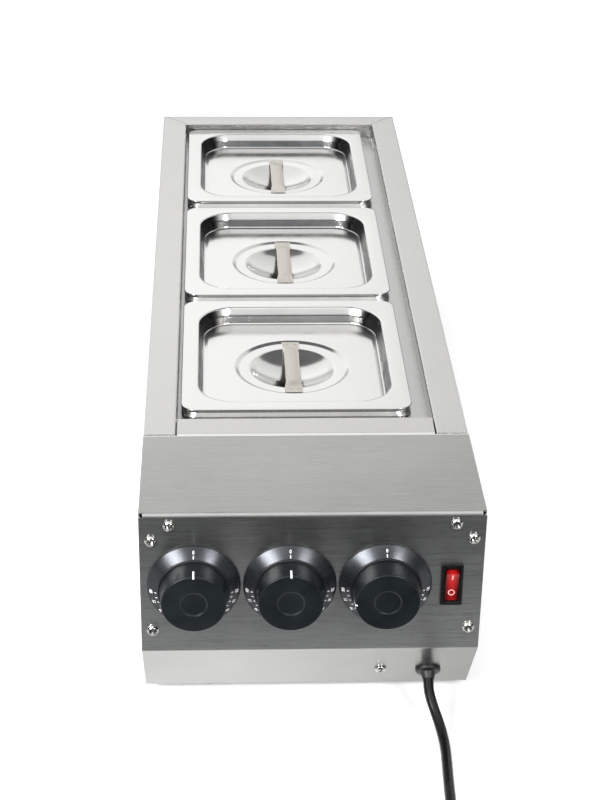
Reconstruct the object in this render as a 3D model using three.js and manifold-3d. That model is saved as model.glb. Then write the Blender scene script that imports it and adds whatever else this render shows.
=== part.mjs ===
// Dry-heat chocolate melting and tempering warmer with three lidded 1/6 food pans.
// Millimetres, +Z up, the front faces -Y and the feet stand on Z = 0.
import * as THREE from "three";
import { mergeVertices } from "three/addons/utils/BufferGeometryUtils.js";
import Module from "manifold-3d";

const wasm = await Module();
wasm.setup();

// Housing
const bodyHeight = 161;
const footHeight = 8;
const sheet = 1;
const railWidth = 22;
const crossRailWidth = 22.6;
const stepDepth = 13.5;
const stepFlange = 10;
const railBend = 1.6;
const coverBend = 3;
const baseFlange = 12;
const slitWidth = 0.7;

// Clearances and cuts
const fitGap = 0.3;
const seatGap = 0.1;
const cutOverrun = 5;

// Control box
const controlDepth = 102;
const frontHeight = 104.3;
const slopeRun = 40.6;
const coverLip = 10;
const hemBend = 1.6;
const hemDrop = 2;
const cornerNotch = 2.6;
const screwFlange = 11.5;
const cornerTabReach = 26;
const cornerTabHeight = 15;

// Panel screws
const screwHead = 8;
const screwHeadHeight = 2.6;
const screwShank = 4;
const screwLength = 9;
const screwHole = 4.5;
const screwSideInset = 7.5;
const screwUpperDrop = 19.2;
const screwLowerDrop = 87.6;
const screwCornerInset = 19.1;
const screwCornerDrop = 8.1;
const earthScrewInset = 61.2;
const earthScrewDown = 40.2;

// Dials and thermostats
const dialPitch = 61.4;
const firstDialInset = 34.4;
const dialDrop = 52.8;
const skirtDiameter = 60;
const skirtHeight = 7.5;
const skirtTop = 45;
const skirtWall = 1.2;
const skirtHole = 14;
const knobReach = 22.5;
const knobBase = 44;
const knobFace = 41.5;
const knobWall = 1.8;
const knobHub = 13;
const knobGap = 0.6;
const dimpleDiameter = 17;
const dimpleDepth = 0.9;
const indexWidth = 1.1;
const indexDepth = 0.4;
const shaftDiameter = 6;
const shaftPlay = 0.3;
const shaftBuried = 5;
const bushDiameter = 9;
const bushReach = 4;
const thermostatWidth = 38;
const thermostatHeight = 32;
const thermostatDepth = 22;
const bracketWidth = 28;
const bracketHeight = 46;
const bracketSheet = 1.2;
const diaphragmDiameter = 30;
const diaphragmHeight = 6;
const spadeWidth = 6.3;
const spadeThickness = 0.8;
const spadeLength = 8;
const thirdKnobTurn = 265;

// Rocker switch
const switchInset = 20;
const switchPitch = 42.8;
const switchDrop = 54;
const bezelWidth = 15.5;
const bezelHeight = 30.5;
const bezelThickness = 2;
const bezelWall = 2.8;
const switchBodyDepth = 18;
const switchBodyInset = 1.4;
const switchCavity = 9;
const rockerSide = 0.4;
const rockerEnd = 1.1;
const rockerPivotDepth = 1.5;
const rockerStand = 4.6;
const rockerDish = 1.4;
const rockerHeel = 3.4;
const rockerTilt = 8;

// Pans, lids and trays
const panWidth = 162;
const panLength = 176;
const panDepth = 100;
const panSheet = 0.8;
const panRimHeight = 6.6;
const panRimCurl = 2.4;
const panRimCorner = 10;
const panFlange = 11.2;
const panCorner = 22;
const panTaper = 11;
const panShoulderDrop = 24;
const panShoulder = 1.8;
const panFloorRadius = 9;
const panSpacing = 12.7;
const panLeftGap = 2.5;
const panRightGap = 11.5;
const panFrontGap = 21.7;
const panRearGap = 1;
const panSlide = 1.5;
const lidSheet = 0.8;
const lidInset = 12.2;
const lidDepth = 12.4;
const lidRecessCorner = 27;
const lidWallRun = 4.2;
const lidCrown = 0.6;
const lidCrownRun = 9.6;
const ringDiameter = 82;
const ringStep = 1.3;
const dishDiameter = 62.5;
const dishDepth = 8.8;
const strapWidth = 13;
const strapNarrowing = 2;
const strapArch = 1.3;
const strapSheet = 1.2;
const wellGap = 2.5;
const wellCorner = 0.8;
const trayFlange = 6;
const trayFloorGap = 5;
const trayCorner = 20;

// Heating and wiring
const padThickness = 3;
const padMargin = 16;
const padGap = 0.3;
const bulbDiameter = 6;
const bulbLength = 60;
const bulbHeight = 78;
const capillary = 2;
const capillaryStep = 28;
const loomDiameter = 8;
const loomStep = 48;
const leadDiameter = 2.4;
const wireSlotWidth = 18;
const wireSlotLow = 40;
const wireSlotHigh = 112;
const blockWidth = 44;
const blockDepth = 22;
const blockHeight = 17;
const blockSlot = 8;
const partitionSetback = 3;
const ventWidth = 4;
const ventLength = 36;
const ventPitch = 12;
const ventRows = 7;

// Feet
const footDiameter = 18;
const footTread = 14;
const footInset = 25;
const footFront = 72;
const footRear = 33;
const footStud = 4;
const footStudLength = 8;

// Mains lead
const cordDiameter = 7;
const cordStep = 14;
const glandInset = 29;
const glandDown = 42;
const glandFlange = 17;
const glandFlangeHeight = 3;
const glandNose = 5;
const glandNoseStart = 11.5;
const glandNoseEnd = 9.4;
const glandInside = 12;
const coilInnerRadius = 28.95;
const coilPitch = 7.6;
const coilTurns = 6.25;
const coilLayerRise = 7.6;
const coilLift = 1.3;
const coilStepsPerTurn = 24;
const coilSides = 6;
const tieThickness = 0.9;
const tieWidth = 12;
const tieGap = 0.35;
const plugWidth = 26;
const plugLength = 30;
const plugSleeve = 34;
const plugSleeveEnd = 12;
const bladeWidth = 6.3;
const bladeThickness = 1.5;
const bladeLength = 16;
const bladeSpacing = 12.7;
const earthPinDiameter = 4.8;
const earthPinLength = 19;
const earthPinOffset = 11.9;

// Places worked out from the sizes above
const count = 3;
const topZ = footHeight + bodyHeight;
const controlsWidth = firstDialInset + (count - 1) * dialPitch + switchPitch + switchInset;
const pansWidth = 2 * railWidth + panLeftGap + panWidth + panRightGap;
const bodyWidth = Math.max(controlsWidth, pansWidth);
const halfWidth = bodyWidth / 2;
const innerHalf = halfWidth - railWidth;
const foldZ = topZ - frontHeight;
const slopeDrop = foldZ - footHeight;
const slopeAngle = Math.atan2(slopeRun, slopeDrop);
const deckZ = topZ - stepDepth;
const bayFront = controlDepth + fitGap + crossRailWidth;
const panPitch = panLength + panSpacing;
const panRow = (count - 1) * panPitch + panLength;
const bayBack = bayFront + panFrontGap + panRow + panRearGap;
const bodyLength = bayBack + railWidth;
const dialZ = topZ - dialDrop;
const switchX = halfWidth - switchInset;
const switchZ = topZ - switchDrop;
const earthScrewX = halfWidth - earthScrewInset;
const glandX = halfWidth - glandInset;
const panOffsetX = panLeftGap + panWidth / 2 - innerHalf;
const panSlides = [0, -panSlide, 0];
const rimZ = deckZ + fitGap + panRimHeight;
const lidZ = rimZ + fitGap + lidSheet;
const panFloorZ = rimZ - panDepth;
const trayFloorZ = panFloorZ - trayFloorGap;
const padTopZ = trayFloorZ - sheet - padGap;
const panBodyWidth = panWidth - 2 * panFlange + 2 * panSheet;
const panBodyLength = panLength - 2 * panFlange + 2 * panSheet;
const wellWidth = panBodyWidth + 2 * wellGap;
const wellLength = panBodyLength + 2 * wellGap;
const lastPanY = bayBack - panRearGap - panLength / 2;
const laneShare = 0.75;
const lanes = halfWidth - sheet - wireSlotWidth * laneShare;

const steel = { color: 0xc9c7c2, roughness: 0.38, metalness: 1 };
const polished = { color: 0xe4e3e0, roughness: 0.14, metalness: 1 };
const galvanised = { color: 0xa9adb0, roughness: 0.5, metalness: 0.9 };
const aluminium = { color: 0xb9bbbd, roughness: 0.45, metalness: 0.9 };
const strapSteel = { color: 0xc3bbb0, roughness: 0.5, metalness: 0.9 };
const blackPlastic = { color: 0x17181a, roughness: 0.42, metalness: 0 };
const skirtBlack = { color: 0x202226, roughness: 0.3, metalness: 0.4 };
const red = { color: 0xc01a12, roughness: 0.2, metalness: 0 };
const rubber = { color: 0x1b1b1b, roughness: 0.8, metalness: 0 };
const silicone = { color: 0xb4552e, roughness: 0.7, metalness: 0 };
const wool = { color: 0xd9c99a, roughness: 1, metalness: 0 };
const brass = { color: 0xb8975a, roughness: 0.35, metalness: 1 };
const cream = { color: 0xe8e4d6, roughness: 0.5, metalness: 0 };

// A closed mesh as a solid that can be cut and joined.
function solid(geometry) {
  const bare = geometry.clone();
  bare.deleteAttribute("normal");
  bare.deleteAttribute("uv");
  const merged = mergeVertices(bare, 1e-4);
  return new wasm.Manifold(
    new wasm.Mesh({
      numProp: 3,
      vertProperties: new Float32Array(merged.attributes.position.array),
      triVerts: new Uint32Array(merged.index.array),
    }),
  );
}

// A cut or joined solid back as geometry.
function geometryOf(shape) {
  const mesh = shape.getMesh();
  const geometry = new THREE.BufferGeometry();
  const positions = new Float32Array(mesh.numVert * 3);
  for (let i = 0; i < mesh.numVert; i++) {
    const start = i * mesh.numProp;
    positions.set(mesh.vertProperties.subarray(start, start + 3), i * 3);
  }
  geometry.setAttribute("position", new THREE.BufferAttribute(positions, 3));
  geometry.setIndex(new THREE.BufferAttribute(new Uint32Array(mesh.triVerts), 1));
  geometry.computeVertexNormals();
  return geometry;
}

function joined(shapes) {
  return shapes.reduce((whole, shape) => whole.add(shape));
}

function box(x0, x1, y0, y1, z0, z1) {
  const geometry = new THREE.BoxGeometry(x1 - x0, y1 - y0, z1 - z0);
  geometry.translate((x0 + x1) / 2, (y0 + y1) / 2, (z0 + z1) / 2);
  return solid(geometry);
}

// An outline in (y, z), (x, z) or (x, y), drawn out along the axis left over.
function drawn(outline, from, to, axis) {
  const shape = new THREE.Shape(outline.map(([u, v]) => new THREE.Vector2(u, v)));
  const geometry = new THREE.ExtrudeGeometry(shape, {
    depth: to - from,
    bevelEnabled: false,
  });
  const x = new THREE.Vector3(1, 0, 0);
  const y = new THREE.Vector3(0, 1, 0);
  const z = new THREE.Vector3(0, 0, 1);
  const basis = new THREE.Matrix4();
  if (axis === "x") basis.makeBasis(y, z, x);
  if (axis === "y") basis.makeBasis(x, z, y.clone().negate());
  if (axis === "z") basis.makeBasis(x, y, z);
  geometry.translate(0, 0, axis === "y" ? -to : from);
  geometry.applyMatrix4(basis);
  return solid(geometry);
}

// A profile of (radius, distance) turned round an axis, which points out of the front or up.
function turned(profile, sides, axis) {
  const points = profile.map(([radius, out]) => new THREE.Vector2(radius, out));
  if (points[0].x > 0) points.push(points[0].clone());
  let area = 0;
  for (let i = 0; i < points.length; i++) {
    area += points[i].cross(points[(i + 1) % points.length]);
  }
  if (area < 0) points.reverse();
  const geometry = new THREE.LatheGeometry(points, sides);
  geometry.rotateX(axis === "front" ? Math.PI : Math.PI / 2);
  return solid(geometry);
}

// A round bar or cutter along one axis, from one distance to another.
function bar(diameter, from, to, axis, sides) {
  const geometry = new THREE.CylinderGeometry(diameter / 2, diameter / 2, to - from, sides);
  geometry.translate(0, (from + to) / 2, 0);
  if (axis === "x") geometry.rotateZ(-Math.PI / 2);
  if (axis === "z") geometry.rotateX(Math.PI / 2);
  return solid(geometry);
}

// The points of a path moved to its right by a distance, with mitred corners.
function offsetPath(path, distance) {
  const normalOf = ([u0, v0], [u1, v1]) => {
    const length = Math.hypot(u1 - u0, v1 - v0);
    return [(v1 - v0) / length, (u0 - u1) / length];
  };
  return path.map(([u, v], i) => {
    const before = normalOf(path[Math.max(i - 1, 0)], path[Math.max(i, 1)]);
    const last = path.length - 1;
    const after = normalOf(path[Math.min(i, last - 1)], path[Math.min(i + 1, last)]);
    const stretch = 1 + before[0] * after[0] + before[1] * after[1];
    return [
      u + (distance * (before[0] + after[0])) / stretch,
      v + (distance * (before[1] + after[1])) / stretch,
    ];
  });
}

// A path with an arc at each of its inner corners. A right turn takes the first radius.
function rounded(path, rightRadius, leftRadius, steps) {
  const points = [path[0]];
  for (let i = 1; i < path.length - 1; i++) {
    const corner = new THREE.Vector2(...path[i]);
    const back = new THREE.Vector2(...path[i - 1]).sub(corner).normalize();
    const on = new THREE.Vector2(...path[i + 1]).sub(corner).normalize();
    const radius = back.cross(on) > 0 ? rightRadius : leftRadius;
    const half = Math.acos(THREE.MathUtils.clamp(back.dot(on), -1, 1)) / 2;
    const centre = back.clone().add(on).normalize();
    centre.multiplyScalar(radius / Math.sin(half)).add(corner);
    const start = back.clone().multiplyScalar(radius / Math.tan(half)).add(corner).sub(centre);
    const sweep = (Math.PI - 2 * half) * (back.cross(on) > 0 ? -1 : 1);
    for (let step = 0; step <= steps; step++) {
      const at = start.clone().rotateAround(new THREE.Vector2(), (sweep * step) / steps);
      points.push([centre.x + at.x, centre.y + at.y]);
    }
  }
  points.push(path[path.length - 1]);
  return points;
}

// The closed outline of a sheet folded along a path, with its thickness on the right.
function foldedSheet(path, thickness, bend, steps) {
  const outer = rounded(path, bend, bend - thickness / 2, steps);
  const inner = rounded(offsetPath(path, thickness), bend - thickness, bend + thickness / 2, steps);
  return [...outer, ...inner.reverse()];
}

function roundedRectangle(width, length, radius, steps, centreX, centreY) {
  const points = [];
  for (let quadrant = 0; quadrant < 4; quadrant++) {
    const signX = quadrant === 0 || quadrant === 3 ? 1 : -1;
    const signY = quadrant < 2 ? 1 : -1;
    for (let step = 0; step <= steps; step++) {
      const angle = ((quadrant + step / steps) * Math.PI) / 2;
      points.push([
        centreX + signX * (width / 2 - radius) + radius * Math.cos(angle),
        centreY + signY * (length / 2 - radius) + radius * Math.sin(angle),
      ]);
    }
  }
  return points;
}

// A smooth tube along points, made in steps of about a length.
function tube(points, diameter, sides, step) {
  const curve = new THREE.CatmullRomCurve3(points.map((point) => new THREE.Vector3(...point)));
  const section = [];
  for (let side = 0; side < sides; side++) {
    const angle = (side * 2 * Math.PI) / sides;
    const radius = diameter / 2;
    section.push(new THREE.Vector2(radius * Math.cos(angle), radius * Math.sin(angle)));
  }
  const geometry = new THREE.ExtrudeGeometry(new THREE.Shape(section), {
    steps: Math.ceil(curve.getLength() / step),
    extrudePath: curve,
  });
  return solid(geometry);
}

// A pressed sheet: rings from its edge to its middle, each a rounded rectangle set in from
// the edge or a circle, and the same rings again one thickness below.
function pressed(width, length, rings, thickness, cornerSteps) {
  const halfX = width / 2;
  const halfY = length / 2;
  const along = rings.map((ring) => (ring.inset === undefined ? halfX - ring.radius : ring.inset));
  const across = rings.map((ring) => ring.height);
  const perRing = 4 * (cornerSteps + 1);
  const positions = [];
  const ringAt = (ring, moveIn, moveDown) => {
    for (let i = 0; i < perRing; i++) {
      const quadrant = Math.floor(i / (cornerSteps + 1));
      const step = i % (cornerSteps + 1);
      const signX = quadrant === 0 || quadrant === 3 ? 1 : -1;
      const signY = quadrant < 2 ? 1 : -1;
      if (ring.inset === undefined) {
        const angle = ((i + 0.5) * 2 * Math.PI) / perRing;
        const radius = ring.radius - moveIn;
        positions.push(radius * Math.cos(angle), radius * Math.sin(angle));
      } else {
        const corner = Math.max(ring.corner - moveIn, thickness);
        const angle = ((quadrant + step / cornerSteps) * Math.PI) / 2;
        const inset = ring.inset + moveIn;
        positions.push(
          signX * (halfX - inset - corner) + corner * Math.cos(angle),
          signY * (halfY - inset - corner) + corner * Math.sin(angle),
        );
      }
      positions.push(ring.height - moveDown);
    }
  };
  const last = rings.length - 1;
  rings.forEach((ring) => ringAt(ring, 0, 0));
  rings.forEach((ring, i) => {
    const run = along[Math.min(i + 1, last)] - along[Math.max(i - 1, 0)];
    const rise = across[Math.min(i + 1, last)] - across[Math.max(i - 1, 0)];
    const size = Math.hypot(run, rise);
    ringAt(ring, (thickness * rise) / size, (thickness * run) / size);
  });
  const topCentre = positions.length / 3;
  positions.push(0, 0, rings[last].height);
  positions.push(0, 0, rings[last].height - thickness);
  const faces = [];
  const below = rings.length * perRing;
  for (let j = 0; j < perRing; j++) {
    const next = (j + 1) % perRing;
    for (let i = 0; i < last; i++) {
      const a = i * perRing + j;
      const b = i * perRing + next;
      const c = b + perRing;
      const d = a + perRing;
      faces.push(a, b, c, a, c, d);
      faces.push(below + a, below + c, below + b, below + a, below + d, below + c);
    }
    faces.push(j, below + j, below + next, j, below + next, next);
    const inner = last * perRing;
    faces.push(inner + j, inner + next, topCentre);
    faces.push(below + inner + next, below + inner + j, topCentre + 1);
  }
  const geometry = new THREE.BufferGeometry();
  geometry.setAttribute("position", new THREE.Float32BufferAttribute(positions, 3));
  geometry.setIndex(faces);
  return geometry;
}

// A closed skin through sections of as many points each. A section runs there and back.
function lofted(sections) {
  const perSection = sections[0].length;
  const lastStart = (sections.length - 1) * perSection;
  const faces = [];
  for (let start = 0; start < lastStart; start += perSection) {
    for (let i = 0; i < perSection; i++) {
      const a = start + i;
      const b = start + ((i + 1) % perSection);
      faces.push(a, b, b + perSection, a, b + perSection, a + perSection);
    }
  }
  for (let i = 0; i < perSection / 2 - 1; i++) {
    const j = perSection - 1 - i;
    faces.push(i, j, i + 1, i + 1, j, j - 1);
    faces.push(lastStart + i, lastStart + i + 1, lastStart + j);
    faces.push(lastStart + i + 1, lastStart + j - 1, lastStart + j);
  }
  const geometry = new THREE.BufferGeometry();
  geometry.setAttribute("position", new THREE.Float32BufferAttribute(sections.flat(2), 3));
  geometry.setIndex(faces);
  return geometry;
}

const machine = new THREE.Group();

function add(name, shape, finish, place = [0, 0, 0], parent = machine) {
  const geometry = shape.isBufferGeometry ? shape : geometryOf(shape);
  const mesh = new THREE.Mesh(geometry, new THREE.MeshStandardMaterial(finish));
  mesh.name = name;
  mesh.position.set(...place);
  parent.add(mesh);
  return mesh;
}

// Sloped lower front: its own frame, with the outside at -Y and Z running up the slope.
const slope = new THREE.Group();
slope.position.set(0, 0, foldZ);
slope.rotation.x = slopeAngle;
machine.add(slope);

// Where the inside of the slope is, at a depth under its outer face.
function slopeY(z, depth) {
  return (foldZ - z) * Math.tan(slopeAngle) + depth / Math.cos(slopeAngle);
}

const frontScrews = [-1, 1].flatMap((side) => [
  [side * (halfWidth - screwCornerInset), topZ - screwCornerDrop],
  [side * (halfWidth - screwSideInset), topZ - screwUpperDrop],
  [side * (halfWidth - screwSideInset), topZ - screwLowerDrop],
]);

const firstDialX = -halfWidth + firstDialInset;
const dials = [...Array(count).keys()].map((i) => firstDialX + i * dialPitch);
const pans = [...Array(count).keys()].map((i) => lastPanY - (count - 1 - i) * panPitch + panSlides[i]);

// The path of the front sheet in (y, z), from the foot of the slope up and back over the top,
// and the path of the hem that turns down at its back edge.
const hemStart = controlDepth - 2 * hemBend;
const hemLowZ = topZ - hemDrop;
const coverPath = [
  [slopeRun, footHeight],
  [0, foldZ],
  [0, topZ],
  [hemStart, topZ],
];
const hemPath = [
  [hemStart - hemBend, topZ],
  [controlDepth, topZ],
  [controlDepth, hemLowZ],
];

function controlCover() {
  const bent = rounded(coverPath, coverBend, coverBend, 4);
  const inside = rounded(offsetPath(coverPath, sheet), coverBend - sheet, coverBend, 4);
  const outline = [...bent, ...inside.reverse()];
  const hem = foldedSheet(hemPath, sheet, hemBend, 3);
  let cover = drawn(outline, -halfWidth, halfWidth, "x").add(drawn(hem, -halfWidth, halfWidth, "x"));
  [-1, 1].forEach((side) => {
    const inner = side * (halfWidth - cornerNotch);
    const outer = side * (halfWidth + cutOverrun);
    cover = cover.subtract(
      box(
        Math.min(inner, outer),
        Math.max(inner, outer),
        -cutOverrun,
        cornerNotch,
        topZ - cornerNotch,
        topZ + cutOverrun,
      ),
    );
  });
  const through = (diameter, x, z) =>
    bar(diameter, -cutOverrun, cutOverrun, "y", 12).translate(x, 0, z);
  frontScrews.forEach(([x, z]) => {
    cover = cover.subtract(through(screwHole, x, z));
  });
  dials.forEach((x) => {
    cover = cover.subtract(through(bushDiameter + 2 * fitGap, x, dialZ));
  });
  const switchHalfX = bezelWidth / 2 - switchBodyInset + fitGap;
  const switchHalfZ = bezelHeight / 2 - switchBodyInset + fitGap;
  cover = cover.subtract(
    box(
      switchX - switchHalfX,
      switchX + switchHalfX,
      -cutOverrun,
      cutOverrun,
      switchZ - switchHalfZ,
      switchZ + switchHalfZ,
    ),
  );
  const tilt = THREE.MathUtils.radToDeg(slopeAngle);
  const onSlope = (diameter, x, down) =>
    bar(diameter, -cutOverrun, cutOverrun, "y", 12)
      .translate(x, 0, -down)
      .rotate([tilt, 0, 0])
      .translate(0, 0, foldZ);
  cover = cover.subtract(onSlope(glandNoseStart + 2 * fitGap, glandX, glandDown));
  return cover.subtract(onSlope(screwHole, earthScrewX, earthScrewDown));
}

// One side sheet: wall, top rail and step folded in one, and the screw flange at the front.
function sidePanel(side) {
  const depth = sheet + fitGap;
  const section = foldedSheet(
    [
      [-halfWidth, footHeight],
      [-halfWidth, topZ],
      [-innerHalf, topZ],
      [-innerHalf, deckZ - stepFlange],
    ],
    sheet,
    railBend,
    2,
  );
  const rail = drawn(section, controlDepth + fitGap, bodyLength, "y");
  const mitre = drawn(
    [
      [-halfWidth + sheet, bodyLength + cutOverrun],
      [-halfWidth + sheet, bodyLength - sheet - fitGap],
      [-innerHalf, bayBack - fitGap],
      [0, bayBack - fitGap],
      [0, bodyLength + cutOverrun],
    ],
    deckZ - stepFlange - cutOverrun,
    topZ + cutOverrun,
    "z",
  );
  const cheek = drawn(
    [
      [depth, topZ - coverBend - fitGap],
      [depth, foldZ],
      [slopeY(footHeight, depth), footHeight],
      [controlDepth + sheet, footHeight],
      [controlDepth + sheet, hemLowZ - fitGap],
      [controlDepth - hemBend - fitGap, hemLowZ - fitGap],
      [controlDepth - hemBend - fitGap, topZ - depth],
      [depth + coverBend, topZ - depth],
    ],
    -halfWidth,
    -halfWidth + sheet,
    "x",
  );
  const flangeTop = topZ - coverBend - fitGap;
  const flange = box(
    -halfWidth,
    -halfWidth + screwFlange,
    depth,
    depth + sheet,
    foldZ,
    flangeTop,
  );
  const tab = box(
    -halfWidth,
    -halfWidth + cornerTabReach,
    depth,
    depth + sheet,
    flangeTop - cornerTabHeight,
    flangeTop,
  );
  let panel = joined([rail.subtract(mitre), cheek, flange, tab]);
  frontScrews
    .filter(([x]) => x < 0)
    .forEach(([x, z]) => {
      const hole = bar(screwHole, 0, depth + cutOverrun, "y", 12).translate(x, 0, z);
      panel = panel.subtract(hole);
    });
  return side < 0 ? panel : panel.mirror([1, 0, 0]);
}

function rearPanel() {
  const half = halfWidth - sheet - fitGap;
  const section = foldedSheet(
    [
      [bayBack, deckZ - stepFlange],
      [bayBack, topZ],
      [bodyLength, topZ],
      [bodyLength, footHeight],
    ],
    sheet,
    railBend,
    2,
  );
  const panel = drawn(section, -half, half, "x");
  const keep = drawn(
    [
      [-half, bodyLength + cutOverrun],
      [-half, bodyLength - sheet],
      [-innerHalf + fitGap, bayBack],
      [innerHalf - fitGap, bayBack],
      [half, bodyLength - sheet],
      [half, bodyLength + cutOverrun],
    ],
    0,
    topZ + cutOverrun,
    "z",
  );
  return panel.intersect(keep);
}

function crossRail() {
  const half = innerHalf - slitWidth;
  const front = controlDepth + fitGap;
  const section = foldedSheet(
    [
      [front - coverLip, hemLowZ - fitGap],
      [front, hemLowZ - fitGap],
      [front, topZ],
      [bayFront, topZ],
      [bayFront, deckZ - stepFlange],
    ],
    sheet,
    sheet,
    1,
  );
  return drawn(section, -half, half, "x");
}

function deckPlate() {
  const halfX = innerHalf - sheet - fitGap;
  const front = bayFront + fitGap;
  const back = bayBack - fitGap;
  const plate = box(-halfX, halfX, front, back, deckZ - sheet, deckZ);
  const hollow = box(
    -halfX + sheet,
    halfX - sheet,
    front + sheet,
    back - sheet,
    deckZ - stepFlange - cutOverrun,
    deckZ - sheet,
  );
  const skirt = box(-halfX, halfX, front, back, deckZ - stepFlange, deckZ).subtract(hollow);
  let deck = plate.add(skirt);
  pans.forEach((y) => {
    const outline = roundedRectangle(wellWidth, wellLength, wellCorner, 2, panOffsetX, y);
    deck = deck.subtract(drawn(outline, deckZ - cutOverrun, deckZ + cutOverrun, "z"));
  });
  return deck;
}

function basePlate() {
  const halfX = halfWidth - sheet - fitGap;
  const front = slopeY(footHeight, sheet + fitGap);
  const back = bodyLength - sheet - fitGap;
  const tray = box(-halfX, halfX, front, back, footHeight, footHeight + baseFlange);
  const hollow = box(
    -halfX + sheet,
    halfX - sheet,
    front - cutOverrun,
    back - sheet,
    footHeight + sheet,
    footHeight + baseFlange + cutOverrun,
  );
  const slopeClear = drawn(
    [
      [front - cutOverrun, footHeight - cutOverrun],
      [slopeY(footHeight - cutOverrun, sheet + fitGap), footHeight - cutOverrun],
      [front, footHeight],
      [front, footHeight + baseFlange + cutOverrun],
      [front - cutOverrun, footHeight + baseFlange + cutOverrun],
    ],
    -halfWidth,
    halfWidth,
    "x",
  );
  let plate = tray.subtract(hollow).subtract(slopeClear);
  const firstVent = (-(ventRows - 1) * ventPitch) / 2;
  for (let i = 0; i < ventRows; i++) {
    const outline = roundedRectangle(
      ventWidth,
      ventLength,
      ventWidth / 2 - sheet / 2,
      1,
      firstVent + i * ventPitch,
      front + ventLength,
    );
    plate = plate.subtract(drawn(outline, footHeight - cutOverrun, footHeight + cutOverrun, "z"));
  }
  feet.forEach(([x, y]) => {
    const hole = bar(footStud + 2 * fitGap, 0, footHeight + cutOverrun, "z", 12);
    plate = plate.subtract(hole.translate(x, y, 0));
  });
  return plate;
}

function partitionWall() {
  const wide = halfWidth - sheet - fitGap;
  const narrow = innerHalf - sheet - fitGap;
  const low = footHeight + sheet + fitGap;
  const neck = deckZ - stepFlange - fitGap;
  const front = controlDepth + partitionSetback;
  const wall = drawn(
    [
      [-wide + sheet, low],
      [wide - sheet, low],
      [wide - sheet, neck],
      [narrow, neck],
      [narrow, topZ - sheet - fitGap],
      [-narrow, topZ - sheet - fitGap],
      [-narrow, neck],
      [-wide + sheet, neck],
    ],
    front,
    front + sheet,
    "y",
  );
  const foot = box(-wide + 2 * sheet, wide - 2 * sheet, front, front + baseFlange, low, low + sheet);
  const slot = drawn(
    roundedRectangle(
      wireSlotWidth,
      wireSlotHigh - wireSlotLow,
      wireSlotWidth / 2 - sheet,
      3,
      lanes,
      (wireSlotHigh + wireSlotLow) / 2,
    ),
    front - cutOverrun,
    front + cutOverrun,
    "y",
  );
  return wall.subtract(slot).add(foot);
}

const headShares = [0.5, 0.6];

// Screw with a low pan head, its head on the outside and its shank going in.
function panScrew() {
  const head = screwHead / 2;
  const shank = screwShank / 2;
  return turned(
    [
      [0, -screwLength],
      [shank, -screwLength],
      [shank, seatGap],
      [head, seatGap],
      [head, screwHeadHeight * headShares[0]],
      [head * headShares[1], screwHeadHeight],
      [0, screwHeadHeight],
    ],
    10,
    "front",
  );
}

function dialSkirt() {
  const outer = skirtDiameter / 2;
  const top = skirtTop / 2;
  return turned(
    [
      [outer - skirtWall, seatGap],
      [outer, seatGap],
      [outer, skirtWall],
      [top, skirtHeight - skirtWall / 2],
      [top - skirtWall / 2, skirtHeight],
      [skirtHole / 2, skirtHeight],
      [skirtHole / 2, skirtHeight - skirtWall],
      [top - 2 * skirtWall, skirtHeight - skirtWall],
    ],
    24,
    "front",
  );
}

function controlKnob(turn) {
  const base = skirtHeight + knobGap;
  const bore = shaftDiameter / 2 + shaftPlay;
  const face = knobFace / 2;
  const dimple = dimpleDiameter / 2;
  const ceiling = knobReach - 2 * knobWall;
  const cap = turned(
    [
      [knobBase / 2, base],
      [face + knobWall / 4, knobReach - knobWall / 2],
      [face - knobWall / 3, knobReach],
      [dimple + knobWall / 3, knobReach],
      [dimple - knobWall / 3, knobReach - dimpleDepth * 0.7],
      [0, knobReach - dimpleDepth],
      [0, ceiling],
      [bore, ceiling],
      [bore, base],
      [knobHub / 2, base],
      [knobHub / 2, ceiling],
      [face - knobWall, ceiling],
      [knobBase / 2 - knobWall, base],
    ],
    24,
    "front",
  );
  const groove = box(
    -indexWidth / 2,
    indexWidth / 2,
    -knobReach - cutOverrun,
    -base - knobWall,
    face - indexDepth,
    face + cutOverrun,
  );
  return cap.subtract(groove).rotate([0, turn, 0]);
}

function thermostatShaft() {
  const ceiling = knobReach - 2 * knobWall;
  return bar(shaftDiameter, -ceiling + fitGap, shaftBuried - fitGap, "y", 12);
}

function thermostat() {
  const back = sheet + fitGap;
  const bodyFront = back + bracketSheet;
  const bodyBack = bodyFront + thermostatDepth;
  const bush = bar(bushDiameter, -bushReach, bodyFront + sheet, "y", 12);
  const bore = bar(shaftDiameter + 2 * shaftPlay, -bushReach - cutOverrun, shaftBuried, "y", 12);
  const bracket = box(
    -bracketWidth / 2,
    bracketWidth / 2,
    back,
    bodyFront,
    -bracketHeight / 2,
    bracketHeight / 2,
  );
  const bodyOutline = roundedRectangle(thermostatWidth, thermostatHeight, 2 * sheet, 1, 0, 0);
  const body = drawn(bodyOutline, bodyFront, bodyBack, "y");
  const diaphragm = bar(diaphragmDiameter, bodyBack, bodyBack + diaphragmHeight, "y", 12);
  const spades = [-1, 1].map((side) =>
    box(
      (side * thermostatWidth) / 3 - spadeWidth / 2,
      (side * thermostatWidth) / 3 + spadeWidth / 2,
      bodyBack - 2 * spadeThickness,
      bodyBack - spadeThickness,
      thermostatHeight / 2 - sheet,
      thermostatHeight / 2 + spadeLength,
    ),
  );
  return joined([bush, bracket, body, diaphragm, ...spades]).subtract(bore);
}

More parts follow.
